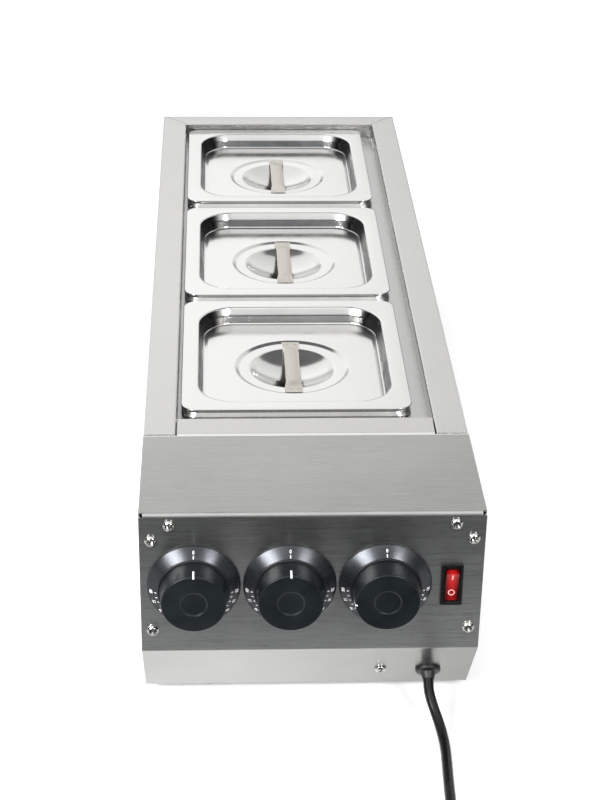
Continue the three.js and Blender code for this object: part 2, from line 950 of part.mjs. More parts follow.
function switchHousing() {
  const halfX = bezelWidth / 2;
  const halfZ = bezelHeight / 2;
  const openX = halfX - bezelWall;
  const openZ = halfZ - bezelWall;
  const bodyX = halfX - switchBodyInset;
  const bodyZ = halfZ - switchBodyInset;
  const bezel = box(-halfX, halfX, -bezelThickness, -seatGap, -halfZ, halfZ);
  const body = box(-bodyX, bodyX, -bezelThickness / 2, switchBodyDepth, -bodyZ, bodyZ);
  const cavity = box(-openX, openX, -cutOverrun, switchCavity, -openZ, openZ);
  const terminals = [-1, 0, 1].map((place) =>
    box(
      -spadeWidth / 2,
      spadeWidth / 2,
      switchBodyDepth - sheet,
      switchBodyDepth + spadeLength,
      (place * bodyZ) / 2 - spadeThickness / 2,
      (place * bodyZ) / 2 + spadeThickness / 2,
    ),
  );
  return joined([bezel, body, ...terminals]).subtract(cavity);
}

// The paddle in (y, z) round its pivot, tipped so that its lower end is pressed in.
function switchRocker() {
  const halfX = bezelWidth / 2 - bezelWall - rockerSide;
  const halfZ = bezelHeight / 2 - bezelWall - rockerEnd;
  const outline = [
    [-rockerStand, halfZ],
    [-rockerStand + rockerDish * 0.8, halfZ / 2],
    [-rockerStand + rockerDish, 0],
    [-rockerStand + rockerDish * 0.8, -halfZ / 2],
    [-rockerStand, -halfZ],
    [0, -halfZ],
    [rockerHeel, -halfZ / 2],
    [rockerHeel, halfZ / 2],
    [0, halfZ],
  ];
  return drawn(outline, -halfX, halfX, "x").rotate([rockerTilt, 0, 0]);
}

const curlShare = 0.3;

function pan() {
  const outer = panRimCorner;
  const floor = -panDepth + panSheet;
  const wallTop = panFlange;
  const shoulderZ = -panShoulderDrop;
  const wallFoot = panFlange + panTaper;
  return pressed(
    panWidth,
    panLength,
    [
      { inset: panRimCurl * curlShare, height: -panRimHeight, corner: outer },
      { inset: 0, height: -panRimHeight + panRimCurl, corner: outer },
      { inset: panRimCurl * curlShare, height: -panRimCurl * curlShare, corner: outer },
      { inset: panRimCurl, height: 0, corner: outer },
      { inset: wallTop - panRimCurl / 2, height: 0, corner: panCorner },
      { inset: wallTop, height: -panRimCurl / 2, corner: panCorner },
      { inset: wallTop, height: shoulderZ, corner: panCorner },
      { inset: wallTop + panShoulder, height: shoulderZ - panShoulder, corner: panCorner },
      { inset: wallFoot, height: floor + panFloorRadius, corner: panCorner },
      {
        inset: wallFoot + panFloorRadius * curlShare,
        height: floor + panFloorRadius * curlShare,
        corner: panCorner,
      },
      { inset: wallFoot + panFloorRadius, height: floor, corner: panCorner },
    ],
    panSheet,
    4,
  );
}

// The dish is part of a ball, sunk in a ring that takes the ends of the strap.
function lid() {
  const wallFoot = lidInset + lidWallRun;
  const panel = -lidDepth + lidCrown;
  const ring = ringDiameter / 2;
  const dish = dishDiameter / 2;
  const ledge = panel - ringStep;
  const ball = (dish * dish + dishDepth * dishDepth) / (2 * dishDepth);
  const bowl = (share) => {
    const radius = dish * share;
    return { radius, height: ledge - dishDepth + ball - Math.sqrt(ball * ball - radius * radius) };
  };
  const bend = lidSheet;
  return pressed(
    panWidth,
    panLength,
    [
      { inset: 0, height: 0, corner: panRimCorner },
      { inset: lidInset - bend, height: 0, corner: lidRecessCorner },
      { inset: lidInset + bend, height: -2 * bend, corner: lidRecessCorner },
      { inset: wallFoot - bend, height: -lidDepth + 2 * bend, corner: lidRecessCorner - bend },
      { inset: wallFoot + 2 * bend, height: -lidDepth, corner: lidRecessCorner - lidWallRun },
      { inset: wallFoot + lidCrownRun, height: panel, corner: lidRecessCorner - lidWallRun },
      { radius: ring + 2 * bend, height: panel },
      { radius: ring, height: panel - ringStep / 2 },
      { radius: ring - bend, height: ledge },
      { radius: dish + bend, height: ledge },
      { radius: dish - bend, height: ledge - bend },
      ...bowlShares.map(bowl),
    ],
    lidSheet,
    5,
  );
}
const bowlShares = [0.82, 0.56, 0.28];

// Flat feet on the ledge, and between them a narrower grip arched across its width.
function lidStrap() {
  const half = ringDiameter / 2 - 2 * lidSheet;
  const foot = (ringDiameter - dishDiameter) / 2 - 3 * lidSheet;
  const bend = strapWidth / 3;
  const places = [-half, foot - half];
  bendShares.forEach((share) => places.push(foot - half + share * bend));
  places.push(...places.map((place) => -place).reverse());
  const sections = places.map((y) => {
    const arch = THREE.MathUtils.smoothstep(half - foot - Math.abs(y), 0, bend);
    const top = archShares.map((share) => [
      (share * (strapWidth - arch * strapNarrowing)) / 2,
      y,
      strapSheet + arch * strapArch * (1 - share * share),
    ]);
    return [...top, ...top.map(([x, along, z]) => [x, along, z - strapSheet]).reverse()];
  });
  return lofted(sections);
}
const archShares = [-1, -0.5, 0, 0.5, 1];
const bendShares = [0.35, 0.65, 1];

function heatingTray() {
  const depth = deckZ - sheet - fitGap - trayFloorZ;
  const wall = trayFlange - sheet;
  const bend = 1.5 * sheet;
  return pressed(
    wellWidth + 2 * trayFlange,
    wellLength + 2 * trayFlange,
    [
      { inset: 0, height: 0, corner: trayCorner + trayFlange },
      { inset: wall - bend, height: 0, corner: trayCorner + bend },
      { inset: wall + sheet, height: -bend, corner: trayCorner },
      { inset: wall + sheet, height: -depth + 2 * bend, corner: trayCorner },
      { inset: wall + sheet + 2 * bend, height: -depth, corner: trayCorner },
    ],
    sheet,
    4,
  );
}

function heaterPad() {
  const outline = roundedRectangle(
    wellWidth - 2 * padMargin,
    wellLength - 2 * padMargin,
    padMargin / 2,
    3,
    0,
    0,
  );
  const bossDepth = padMargin / 2;
  const edge = wellWidth / 2 - padMargin;
  const pad = drawn(outline, -padThickness, 0, "z");
  const boss = box(edge - sheet, edge + bossDepth, -bossDepth, bossDepth, -padThickness, 0);
  return pad.add(boss);
}

function insulationBlanket() {
  const low = footHeight + sheet + fitGap;
  const high = padTopZ - padThickness - padGap;
  const front = controlDepth + partitionSetback + baseFlange + fitGap;
  const back = bodyLength - 2 * sheet - 2 * fitGap;
  let blanket = box(-halfWidth + baseFlange, halfWidth - 2 * baseFlange, front, back, low, high);
  feet
    .filter(([, y]) => y > front)
    .forEach(([x, y]) => {
      const hole = bar(footStud + 2 * fitGap, 0, footHeight + 2 * footStudLength, "z", 8);
      blanket = blanket.subtract(hole.translate(x, y, 0));
    });
  return blanket;
}

// Sensor bulb beside a tray, and its thin tube back through the slot to the thermostat.
function sensor(i) {
  const trayWall = panOffsetX + wellWidth / 2 + sheet;
  const x = trayWall + fitGap + bulbDiameter / 2;
  const y = pans[i];
  const bulb = bar(bulbDiameter, -bulbLength / 2, bulbLength / 2, "y", 8).translate(x, y, bulbHeight);
  const laneZ = bulbHeight + (i - 1) * 3 * capillary;
  const slotY = controlDepth + partitionSetback;
  const back = sheet + fitGap + bracketSheet + thermostatDepth + diaphragmHeight;
  const start = y - bulbLength / 2;
  const line = tube(
    [
      [x, start + capillary, bulbHeight],
      [x, start - bulbDiameter, bulbHeight],
      [(x + lanes) / 2, start - 3 * bulbDiameter, (bulbHeight + laneZ) / 2],
      [lanes, start - 5 * bulbDiameter, laneZ],
      [lanes, slotY + bulbDiameter, laneZ],
      [lanes, slotY - bulbDiameter, laneZ],
      [lanes - bulbLength / 2, (slotY + back) / 2, (laneZ + dialZ) / 2],
      [dials[i], back + 3 * bulbDiameter, dialZ],
      [dials[i], back + bulbDiameter, dialZ],
      [dials[i], back + fitGap, dialZ],
    ],
    capillary,
    5,
    capillaryStep,
  );
  return bulb.add(line);
}

function terminalBlock() {
  const half = blockWidth / 2;
  let block = box(-half, half, 0, blockDepth, 0, blockHeight);
  const wall = (blockWidth - count * blockSlot) / (count + 1);
  for (let i = 0; i < count; i++) {
    const x = -half + wall + i * (blockSlot + wall);
    block = block.subtract(
      box(x, x + blockSlot, -cutOverrun, blockDepth / 4, blockHeight / 4, blockHeight + cutOverrun),
    );
    block = block.subtract(
      box(
        x,
        x + blockSlot,
        (blockDepth * 3) / 4,
        blockDepth + cutOverrun,
        blockHeight / 4,
        blockHeight + cutOverrun,
      ),
    );
  }
  return block;
}

const blockY = slopeY(footHeight, 0) + blockDepth / 2;
const loomZ = padTopZ - padThickness / 2;

// One trunk from the terminal block to the last pad, with a lead off it to each pad.
function wiringLoom() {
  const slotY = controlDepth + partitionSetback;
  const low = footHeight + sheet + fitGap + blockHeight / 2;
  const trunk = tube(
    [
      [blockWidth / 2 + fitGap, blockY + blockDepth / 2, low],
      [blockWidth / 2 + 2 * loomDiameter, blockY + blockDepth / 2, low],
      [lanes - loomDiameter, slotY - 3 * loomDiameter, (low + loomZ) / 2],
      [lanes, slotY - loomDiameter, loomZ],
      [lanes, slotY + loomDiameter, loomZ],
      [lanes, pans[0], loomZ],
      [lanes, pans[1], loomZ],
      [lanes, pans[2] + loomDiameter, loomZ],
    ],
    loomDiameter,
    6,
    loomStep,
  );
  const padEdge = panOffsetX + wellWidth / 2 - padMargin / 2 + fitGap;
  const leads = pans.map((y) => bar(leadDiameter, padEdge, lanes, "x", 6).translate(0, y, loomZ));
  return joined([trunk, ...leads]);
}

const footX = halfWidth - footInset;
const feet = [
  [-footX, footFront],
  [footX, footFront],
  [-footX, bodyLength - footRear],
  [footX, bodyLength - footRear],
];

// Rubber foot with a moulded-in stud.
function foot() {
  const wide = footDiameter / 2;
  const narrow = footTread / 2;
  const top = footHeight - seatGap;
  return turned(
    [
      [0, 0],
      [narrow, 0],
      [wide - sheet, sheet],
      [wide, top],
      [footStud / 2, top],
      [footStud / 2, top + footStudLength],
      [0, top + footStudLength],
    ],
    12,
    "up",
  );
}

function cableGland() {
  const flange = glandFlange / 2;
  const start = glandNoseStart / 2;
  return turned(
    [
      [0, -glandInside],
      [start - sheet, -glandInside],
      [start, -sheet - fitGap],
      [start, seatGap],
      [flange, seatGap],
      [flange, glandFlangeHeight / 2],
      [flange - sheet, glandFlangeHeight],
      [start, glandFlangeHeight],
      [glandNoseEnd / 2, glandFlangeHeight + glandNose],
      [0, glandFlangeHeight + glandNose],
    ],
    14,
    "front",
  );
}

// The free stretch leaves the gland square to the slope, comes down to the floor, runs forward
// and rises a little to the foot of the coil.
const coilOuterRadius = coilInnerRadius + (coilPitch * coilTurns) / 2;
const cordRadius = cordDiameter / 2;
const coilLowZ = coilLift + cordRadius;
const coilEndX = 86.2;
const coilY = -168;
const coilX = coilEndX - coilOuterRadius;
const outY = -Math.cos(slopeAngle);
const outZ = -Math.sin(slopeAngle);
const glandEnd = glandFlangeHeight + glandNose;
const glandExit = [
  glandX,
  glandDown * Math.sin(slopeAngle) + glandEnd * outY,
  foldZ - glandDown * Math.cos(slopeAngle) + glandEnd * outZ,
];
const cordPoints = [
  [82.3, 6.1, 17.3],
  [84.6, -0.9, 12.4],
  [86.7, -8.5, 8.4],
  [88.1, -17, 5.5],
  [88.7, -27, 3.9],
  [88.4, -38, 3.5],
  [87.6, -54, 3.5],
  [86.9, -70, 3.5],
  [86.4, -86, 3.5],
  [86.2, -104, 3.5],
  [86.2, -122, 3.7],
  [86.2, -140, 4.4],
];
const cordRoute = [
  [glandX, glandExit[1] + fitGap * outY, glandExit[2] + fitGap * outZ],
  [glandX, glandExit[1] + cordDiameter * outY, glandExit[2] + cordDiameter * outZ],
  ...cordPoints,
  [coilEndX, coilY + 2 * cordDiameter, coilLowZ],
  [coilEndX, coilY + cordDiameter + fitGap, coilLowZ],
];

// The stored length: in to the middle on one layer and out again on the next, clockwise.
function coilPath() {
  const steps = Math.round(coilTurns * coilStepsPerTurn);
  const path = [[coilEndX, coilY + cordDiameter, coilLowZ]];
  for (let step = 0; step <= steps; step++) {
    const turn = step / coilStepsPerTurn;
    const fromMiddle = turn - coilTurns / 2;
    const radius = coilInnerRadius + coilPitch * Math.abs(fromMiddle);
    const climb = THREE.MathUtils.clamp(2 * fromMiddle + 0.5, 0, 1);
    const angle = -2 * Math.PI * turn;
    path.push([
      coilX + radius * Math.cos(angle),
      coilY + radius * Math.sin(angle),
      coilLowZ + coilLayerRise * climb,
    ]);
  }
  const end = path[path.length - 1];
  path.push([end[0] - cordDiameter, end[1], end[2]]);
  return path.map((point) => new THREE.Vector3(...point));
}

function cordCoil(path) {
  const positions = [];
  const up = new THREE.Vector3(0, 0, 1);
  path.forEach((point, i) => {
    const before = path[Math.max(i - 1, 0)];
    const after = path[Math.min(i + 1, path.length - 1)];
    const along = after.clone().sub(before).normalize();
    const side = along.clone().cross(up).normalize();
    const over = along.clone().cross(side);
    for (let corner = 0; corner < coilSides; corner++) {
      const angle = (corner * 2 * Math.PI) / coilSides;
      const at = point.clone();
      at.addScaledVector(side, cordRadius * Math.cos(angle));
      at.addScaledVector(over, cordRadius * Math.sin(angle));
      positions.push(at.x, at.y, at.z);
    }
  });
  const faces = [];
  const last = (path.length - 1) * coilSides;
  for (let corner = 0; corner < coilSides; corner++) {
    const next = (corner + 1) % coilSides;
    for (let ring = 0; ring < last; ring += coilSides) {
      const a = ring + corner;
      const b = ring + next;
      faces.push(a, b, b + coilSides, a, b + coilSides, a + coilSides);
    }
    if (corner > 0 && next > 0) {
      faces.push(0, next, corner);
      faces.push(last, last + corner, last + next);
    }
  }
  const geometry = new THREE.BufferGeometry();
  geometry.setAttribute("position", new THREE.Float32BufferAttribute(positions, 3));
  geometry.setIndex(faces);
  return solid(geometry);
}

// The least distance between two stretches of the coil at least half a turn apart.
function leastCoilGap(path) {
  const apart = coilStepsPerTurn / 2;
  let least = Infinity;
  for (let i = 0; i < path.length; i++) {
    for (let j = i + apart; j < path.length; j++) {
      least = Math.min(least, path[i].distanceTo(path[j]) - cordDiameter);
    }
  }
  return least;
}

// A flat band round the bundle of turns, on the side away from the machine's lead.
function cordTie() {
  const inner = coilInnerRadius - cordRadius - tieGap;
  const outer = coilOuterRadius + cordRadius + tieGap;
  const low = coilLowZ - cordRadius - tieGap;
  const high = coilLowZ + coilLayerRise + cordRadius + tieGap;
  const band = drawn(
    roundedRectangle(
      outer - inner + 2 * tieThickness,
      high - low + 2 * tieThickness,
      2 * tieThickness,
      2,
      (inner + outer) / 2,
      (high + low) / 2,
    ),
    -tieWidth / 2,
    tieWidth / 2,
    "y",
  );
  const hollow = drawn(
    roundedRectangle(outer - inner, high - low, tieThickness, 2, (inner + outer) / 2, (high + low) / 2),
    -tieWidth,
    tieWidth,
    "y",
  );
  return band.subtract(hollow).rotate([0, 0, 180]).translate(coilX, coilY, 0);
}

// Moulded plug lying beside the coil, with its sleeve towards the coil and its pins at -X.
function plug() {
  const height = 2 * (coilLowZ + coilLayerRise - seatGap);
  const half = height / 2;
  const sleeve = turned(
    [
      [0, 0],
      [cordRadius + seatGap, 0],
      [plugSleeveEnd / 2, plugSleeve],
      [plugSleeveEnd / 2, plugSleeve + sheet],
      [0, plugSleeve + sheet],
    ],
    12,
    "front",
  ).rotate([0, 0, -90]);
  const outline = roundedRectangle(plugWidth, height, half / 2, 3, 0, 0);
  const face = -plugSleeve - plugLength;
  const body = drawn(outline, face, -plugSleeve, "x");
  const rowY = -earthPinOffset / 2;
  const blades = [-1, 1].map((side) =>
    box(
      face - bladeLength,
      face + sheet,
      rowY - bladeWidth / 2,
      rowY + bladeWidth / 2,
      (side * bladeSpacing) / 2 - bladeThickness / 2,
      (side * bladeSpacing) / 2 + bladeThickness / 2,
    ),
  );
  const earth = bar(earthPinDiameter, face - earthPinLength, face + sheet, "x", 12);
  return joined([sleeve, body, ...blades, earth.translate(0, -rowY, 0)]);
}

add("left_side_panel", sidePanel(-1), steel);
add("right_side_panel", sidePanel(1), steel);
add("rear_panel", rearPanel(), steel);
add("front_cross_rail", crossRail(), steel);
add("control_cover", controlCover(), steel);
add("deck_plate", deckPlate(), steel);
add("base_plate", basePlate(), galvanised);
add("partition_wall", partitionWall(), galvanised);
add("insulation_blanket", insulationBlanket(), wool);
add("terminal_block", terminalBlock(), cream, [0, blockY, footHeight + sheet + fitGap]);
add("wiring_loom", wiringLoom(), rubber);

frontScrews.forEach(([x, z], i) => {
  add(`panel_screw_${i + 1}`, panScrew(), polished, [x, 0, z]);
});
add("earth_screw", panScrew(), polished, [earthScrewX, 0, -earthScrewDown], slope);
add("cable_gland", cableGland(), rubber, [glandX, 0, -glandDown], slope);

dials.forEach((x, i) => {
  const turn = i === count - 1 ? thirdKnobTurn : 0;
  const place = [x, 0, dialZ];
  add(`thermostat_${i + 1}`, thermostat(), galvanised, place);
  add(`thermostat_shaft_${i + 1}`, thermostatShaft(), brass, place);
  add(`dial_skirt_${i + 1}`, dialSkirt(), skirtBlack, place);
  add(`control_knob_${i + 1}`, controlKnob(turn), blackPlastic, place);
  add(`sensor_${i + 1}`, sensor(i), brass);
});

add("switch_housing", switchHousing(), blackPlastic, [switchX, 0, switchZ]);
add("switch_rocker", switchRocker(), red, [switchX, rockerPivotDepth, switchZ]);

pans.forEach((y, i) => {
  const strapZ = lidZ - lidDepth + lidCrown - ringStep + fitGap;
  add(`heating_tray_${i + 1}`, heatingTray(), aluminium, [panOffsetX, y, deckZ - sheet - fitGap]);
  add(`heater_pad_${i + 1}`, heaterPad(), silicone, [panOffsetX, y, padTopZ]);
  add(`pan_${i + 1}`, pan(), polished, [panOffsetX, y, rimZ]);
  add(`lid_${i + 1}`, lid(), polished, [panOffsetX, y, lidZ]);
  add(`lid_strap_${i + 1}`, lidStrap(), strapSteel, [panOffsetX, y, strapZ]);
});

feet.forEach(([x, y], i) => {
  add(`foot_${i + 1}`, foot(), rubber, [x, y, 0]);
});

const stored = coilPath();
const coilEnd = stored[stored.length - 1];
add("power_cord", tube(cordRoute, cordDiameter, 10, cordStep), rubber);
add("cord_coil", cordCoil(stored), rubber);
add("cord_tie", cordTie(), blackPlastic);
add("plug", plug(), rubber, [coilEnd.x - fitGap, coilEnd.y, coilEnd.z]);
console.log(`least gap of the coil to itself: ${leastCoilGap(stored).toFixed(2)} mm`);

// The origin is under the middle of the machine, its knobs included.
machine.position.y = -(bodyLength - knobReach) / 2;
const part = new THREE.Group();
part.add(machine);

export default part;
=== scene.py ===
import math

import bmesh
import bpy
from mathutils import Matrix, Vector


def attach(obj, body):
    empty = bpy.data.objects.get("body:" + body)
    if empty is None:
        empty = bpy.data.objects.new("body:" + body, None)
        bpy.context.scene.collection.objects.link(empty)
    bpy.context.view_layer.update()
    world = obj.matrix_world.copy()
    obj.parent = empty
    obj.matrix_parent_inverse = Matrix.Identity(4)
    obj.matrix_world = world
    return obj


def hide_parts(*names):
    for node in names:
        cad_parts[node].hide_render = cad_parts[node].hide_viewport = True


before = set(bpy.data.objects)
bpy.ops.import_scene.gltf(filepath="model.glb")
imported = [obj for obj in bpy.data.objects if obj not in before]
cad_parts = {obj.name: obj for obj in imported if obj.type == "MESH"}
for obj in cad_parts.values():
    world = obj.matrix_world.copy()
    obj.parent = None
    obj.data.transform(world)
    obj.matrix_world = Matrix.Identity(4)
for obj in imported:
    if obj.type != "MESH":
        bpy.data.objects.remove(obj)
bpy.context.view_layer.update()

MM = 0.001
TAU = 2 * math.pi
PANEL_Y = -350.25

# Housing
LENGTH = 723
FOOT_HEIGHT = 8
TOP = 169
FIT_GAP = 0.3
RAIL_WIDTH = 22
CROSS_RAIL = 22.6
STEP_DEPTH = 13.5
DECK = TOP - STEP_DEPTH
CONTROL_DEPTH = 102
FRONT_HEIGHT = 104.3
FOLD = TOP - FRONT_HEIGHT
SLOPE_RUN = 40.6
SLOPE = math.atan2(SLOPE_RUN, FOLD - FOOT_HEIGHT)
BAY_FRONT = CONTROL_DEPTH + FIT_GAP + CROSS_RAIL
BAY_BACK = LENGTH - RAIL_WIDTH
FEET = ((-85, 72), (85, 72), (-85, LENGTH - 33), (85, LENGTH - 33))

# Controls
DIALS = (-75.6, -14.2, 47.2)
DIAL_Z = TOP - 52.8
THIRD_TURN = 265
SWITCH_X = 90
SWITCH_Z = TOP - 54
ROCKER_TILT = 8
SCREWS = (
    (-90.9, 160.9),
    (-102.5, 149.8),
    (-102.5, 81.4),
    (90.9, 160.9),
    (102.5, 149.8),
    (102.5, 81.4),
)
SCREW_ROLLS = (0.5, 1.1, 0.2, 0.75, 0.35, 1.3)
EARTH_SCREW = (48.8, 40.2)
GLAND = (81, 42)

# Pans and lids
PAN_X = -4.5
PAN_Y = (234.6, 421.8, 612)
PAN_WIDTH = 162
PAN_LENGTH = 176
PAN_SHEET = 0.8
PAN_FLOOR = -99.2
RIM = DECK + FIT_GAP + 6.6
LID = RIM + FIT_GAP + PAN_SHEET
PANEL = -11.8
LEDGE = -13.1
DISH = 31.25
DISH_DEPTH = 8.3
STRAP_SHEET = 1.2

# Camera at the photograph's place and angle
CAMERA_PLACE = (-0.0592, -1.37005, 0.8029)
CAMERA_ANGLES = (2.778, 28.423, -0.990)
FOCAL_PIXELS = 1910.7
PICTURE_HEIGHT = 800
FILM_WIDTH = 36


def at(x, y, z):
    """A place on the machine in millimetres as a point of the scene in metres."""
    return Vector((x, y + PANEL_Y, z)) * MM


def on_slope(x, down, out):
    """A place on the sloped lower front: down from the fold, and out of its face."""
    y = down * math.sin(SLOPE) - out * math.cos(SLOPE)
    z = FOLD - down * math.cos(SLOPE) - out * math.sin(SLOPE)
    return x, y, z


def make_camera():
    yaw, pitch, roll = (math.radians(angle) for angle in CAMERA_ANGLES)
    ahead = Vector((math.sin(yaw) * math.cos(pitch), math.cos(yaw) * math.cos(pitch), -math.sin(pitch)))
    right = Vector((math.cos(yaw), -math.sin(yaw), 0))
    down = ahead.cross(right)
    turned_right = right * math.cos(roll) + down * math.sin(roll)
    turned_down = down * math.cos(roll) - right * math.sin(roll)
    data = bpy.data.cameras.new("photo_camera")
    data.sensor_width = FILM_WIDTH
    data.lens = FOCAL_PIXELS / PICTURE_HEIGHT * FILM_WIDTH
    data.clip_start = 0.02
    data.clip_end = 60
    camera = bpy.data.objects.new("photo_camera", data)
    turn = Matrix((turned_right, -turned_down, -ahead)).transposed().to_4x4()
    camera.matrix_world = Matrix.Translation(CAMERA_PLACE) @ turn
    bpy.context.scene.collection.objects.link(camera)
    bpy.context.scene.camera = camera


# Outlines
def rounded(path, radii, steps):
    """An open path with an arc at each inner corner."""
    points = [path[0]]
    for before, corner, after, radius in zip(path, path[1:], path[2:], radii):
        corner = Vector(corner)
        back = (Vector(before) - corner).normalized()
        on = (Vector(after) - corner).normalized()
        half = back.angle(on) / 2
        centre = corner + (back + on).normalized() * radius / math.sin(half)
        start = corner + back * radius / math.tan(half) - centre
        end = corner + on * radius / math.tan(half) - centre
        sweep = start.angle(end)
        turn = 1 if start.x * end.y - start.y * end.x > 0 else -1
        for step in range(steps + 1):
            angle = turn * sweep * step / steps
            x = start.x * math.cos(angle) - start.y * math.sin(angle)
            y = start.x * math.sin(angle) + start.y * math.cos(angle)
            points.append((centre.x + x, centre.y + y))
    points.append(path[-1])
    return points


def rectangle(half_u, half_v, corner, steps, centre):
    """A closed rounded rectangle."""
    points = []
    for quadrant, (su, sv) in enumerate(((1, 1), (-1, 1), (-1, -1), (1, -1))):
        for step in range(steps + 1):
            angle = (quadrant + step / steps) * math.pi / 2
            u = centre[0] + su * (half_u - corner) + corner * math.cos(angle)
            v = centre[1] + sv * (half_v - corner) + corner * math.sin(angle)
            points.append((u, v))
    return points


# Shapes, each as its points in millimetres and its faces
def drawn(outline, start, end, axis):
    """An outline drawn out along an axis: x takes (y, z) and z takes (x, y)."""
    if axis == "x":
        points = [(w, u, v) for w in (start, end) for u, v in outline]
    else:
        points = [(u, v, w) for w in (start, end) for u, v in outline]
    count = len(outline)
    faces = [tuple(range(count))[::-1], tuple(range(count, 2 * count))]
    for i in range(count):
        j = (i + 1) % count
        faces.append((i, j, count + j, count + i))
    return points, faces


def block(x0, x1, y0, y1, z0, z1):
    """A box between two places along each axis."""
    return drawn([(x0, y0), (x1, y0), (x1, y1), (x0, y1)], z0, z1, "z")


def revolved(profile, sides, centre=(0, 0, 0)):
    """A profile of (radius, distance out of the front) turned round an axis along Y."""
    points, faces, rings = [], [], []
    for radius, out in profile:
        if radius < 1e-6:
            rings.append([len(points)] * sides)
            points.append((centre[0], centre[1] - out, centre[2]))
            continue
        rings.append(list(range(len(points), len(points) + sides)))
        for i in range(sides):
            angle = TAU * i / sides
            x = centre[0] + radius * math.sin(angle)
            points.append((x, centre[1] - out, centre[2] + radius * math.cos(angle)))
    if profile[0][0] > 1e-6:
        rings.append(rings[0])
    for a, b in zip(rings, rings[1:]):
        for i in range(sides):
            j = (i + 1) % sides
            corners = [a[i], a[j], b[j], b[i]]
            face = [c for k, c in enumerate(corners) if c not in corners[:k]]
            if len(face) > 2:
                faces.append(tuple(face))
    return points, faces


def lofted(rings, closed=True):
    """A skin through rings of as many points each, with its ends closed."""
    count = len(rings[0])
    points = [p for ring in rings for p in ring]
    faces = []
    for r in range(len(rings) - 1):
        for i in range(count):
            j = (i + 1) % count
            a, b = r * count, (r + 1) * count
            faces.append((a + i, a + j, b + j, b + i))
    if closed:
        faces.append(tuple(range(count))[::-1])
        faces.append(tuple(range(len(points) - count, len(points))))
    return points, faces


def pressed(profile, y, top, corner_at, steps, side_inset=lambda inset: inset):
    """The skin of a pan or lid, in rings from its edge inwards.

    A ring is (inset, height) or ("round", radius, height). At an inset, corner_at gives the corner
    radius, and side_inset how far in the left and right walls are.
    """
    per_ring = 4 * (steps + 1)
    rings = []
    for entry in profile:
        if entry[0] == "round":
            _, radius, height = entry
            ring = []
            for i in range(per_ring):
                angle = (i + 0.5) * TAU / per_ring
                ring.append((PAN_X + radius * math.cos(angle), y + radius * math.sin(angle)))
        else:
            inset, height = entry
            half_width = PAN_WIDTH / 2 - side_inset(inset)
            half_length = PAN_LENGTH / 2 - inset
            ring = rectangle(half_width, half_length, corner_at(inset), steps, (PAN_X, y))
        rings.append([(u, v, top + height) for u, v in ring])
    points, faces = lofted(rings, closed=False)
    faces.append(tuple(range(len(points) - per_ring, len(points))))
    return points, faces


def together(*shapes):
    """Several shapes as the shells of one."""
    points, faces = [], []
    for some_points, some_faces in shapes:
        start = len(points)
        points += some_points
        faces += [tuple(start + i for i in face) for face in some_faces]
    return points, faces


# Pieces
def make_mesh(name, shape, joined=True):
    """The mesh of a shape, with doubled points joined and faces turned outwards."""
    points, faces = shape
    mesh = bpy.data.meshes.new(name)
    mesh.from_pydata([at(*p) for p in points], [], faces)
    if joined:
        work = bmesh.new()
        work.from_mesh(mesh)
        bmesh.ops.remove_doubles(work, verts=work.verts, dist=1e-7)
        bmesh.ops.recalc_face_normals(work, faces=work.faces)
        work.to_mesh(mesh)
        work.free()
    return mesh


def carved(shape, cutters):
    """The mesh of a shape with other shapes cut out of it."""
    made = []
    for some_shape in (shape, *cutters):
        piece = bpy.data.objects.new("work", make_mesh("work", some_shape))
        bpy.context.scene.collection.objects.link(piece)
        made.append(piece)
    whole = made[0]
    for cutter in made[1:]:
        cut = whole.modifiers.new("cut", "BOOLEAN")
        cut.operation = "DIFFERENCE"
        cut.solver = "EXACT"
        cut.object = cutter
    bpy.context.view_layer.update()
    graph = bpy.context.evaluated_depsgraph_get()
    result = bpy.data.meshes.new_from_object(whole.evaluated_get(graph))
    for piece in made:
        bpy.data.objects.remove(piece)
    return result


def dress(name, mesh, finish, body, stands_for, smooth):
    """A mesh as a piece of the machine. Edges sharper than smooth, in degrees, stay sharp."""
    mesh.shade_smooth()
    mesh.set_sharp_from_angle(angle=math.radians(smooth))
    mesh.materials.clear()
    mesh.materials.append(finish)
    piece = bpy.data.objects.new(name, mesh)
    bpy.context.scene.collection.objects.link(piece)
    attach(piece, body)
    if stands_for:
        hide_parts(*stands_for)
    return piece


def put_up(name, shape, finish, body, stands_for, smooth=35, joined=True):
    """A shape as a piece of the machine."""
    return dress(name, make_mesh(name, shape, joined), finish, body, stands_for, smooth)


def soften(piece, width, segments=2, angle=40):
    """Rounds the sharp edges of a piece."""
    bevel = piece.modifiers.new("soft_edges", "BEVEL")
    bevel.width = width * MM
    bevel.segments = segments
    bevel.limit_method = "ANGLE"
    bevel.angle_limit = math.radians(angle)
    bevel.harden_normals = True


def thicken(piece, thickness):
    """Gives a skin the thickness of its sheet, inwards."""
    solid = piece.modifiers.new("sheet_thickness", "SOLIDIFY")
    solid.thickness = thickness * MM
    solid.offset = -1
    solid.use_even_offset = True


# Shader nodes and groups
def nodes_of(tree):
    """A maker of nodes in a tree. An input takes a value, or a socket to be joined to."""

    def node(kind, **values):
        made = tree.nodes.new(kind)
        inputs = values.pop("inputs", {})
        for key, value in values.items():
            setattr(made, key, value)
        for key, value in inputs.items():
            if isinstance(value, bpy.types.NodeSocket):
                tree.links.new(value, made.inputs[key])
            else:
                made.inputs[key].default_value = value
        return made

    return node


def shade(node, factor, dark, light, low, high):
    """A colour between two, by where a factor lies between two values."""
    span = node("ShaderNodeMapRange", inputs={"Value": factor, "From Min": low, "From Max": high})
    mix = node("ShaderNodeMix", data_type="RGBA", inputs={"Factor": span.outputs[0]})
    mix.inputs[6].default_value = (*dark, 1)
    mix.inputs[7].default_value = (*light, 1)
    return mix.outputs[2]


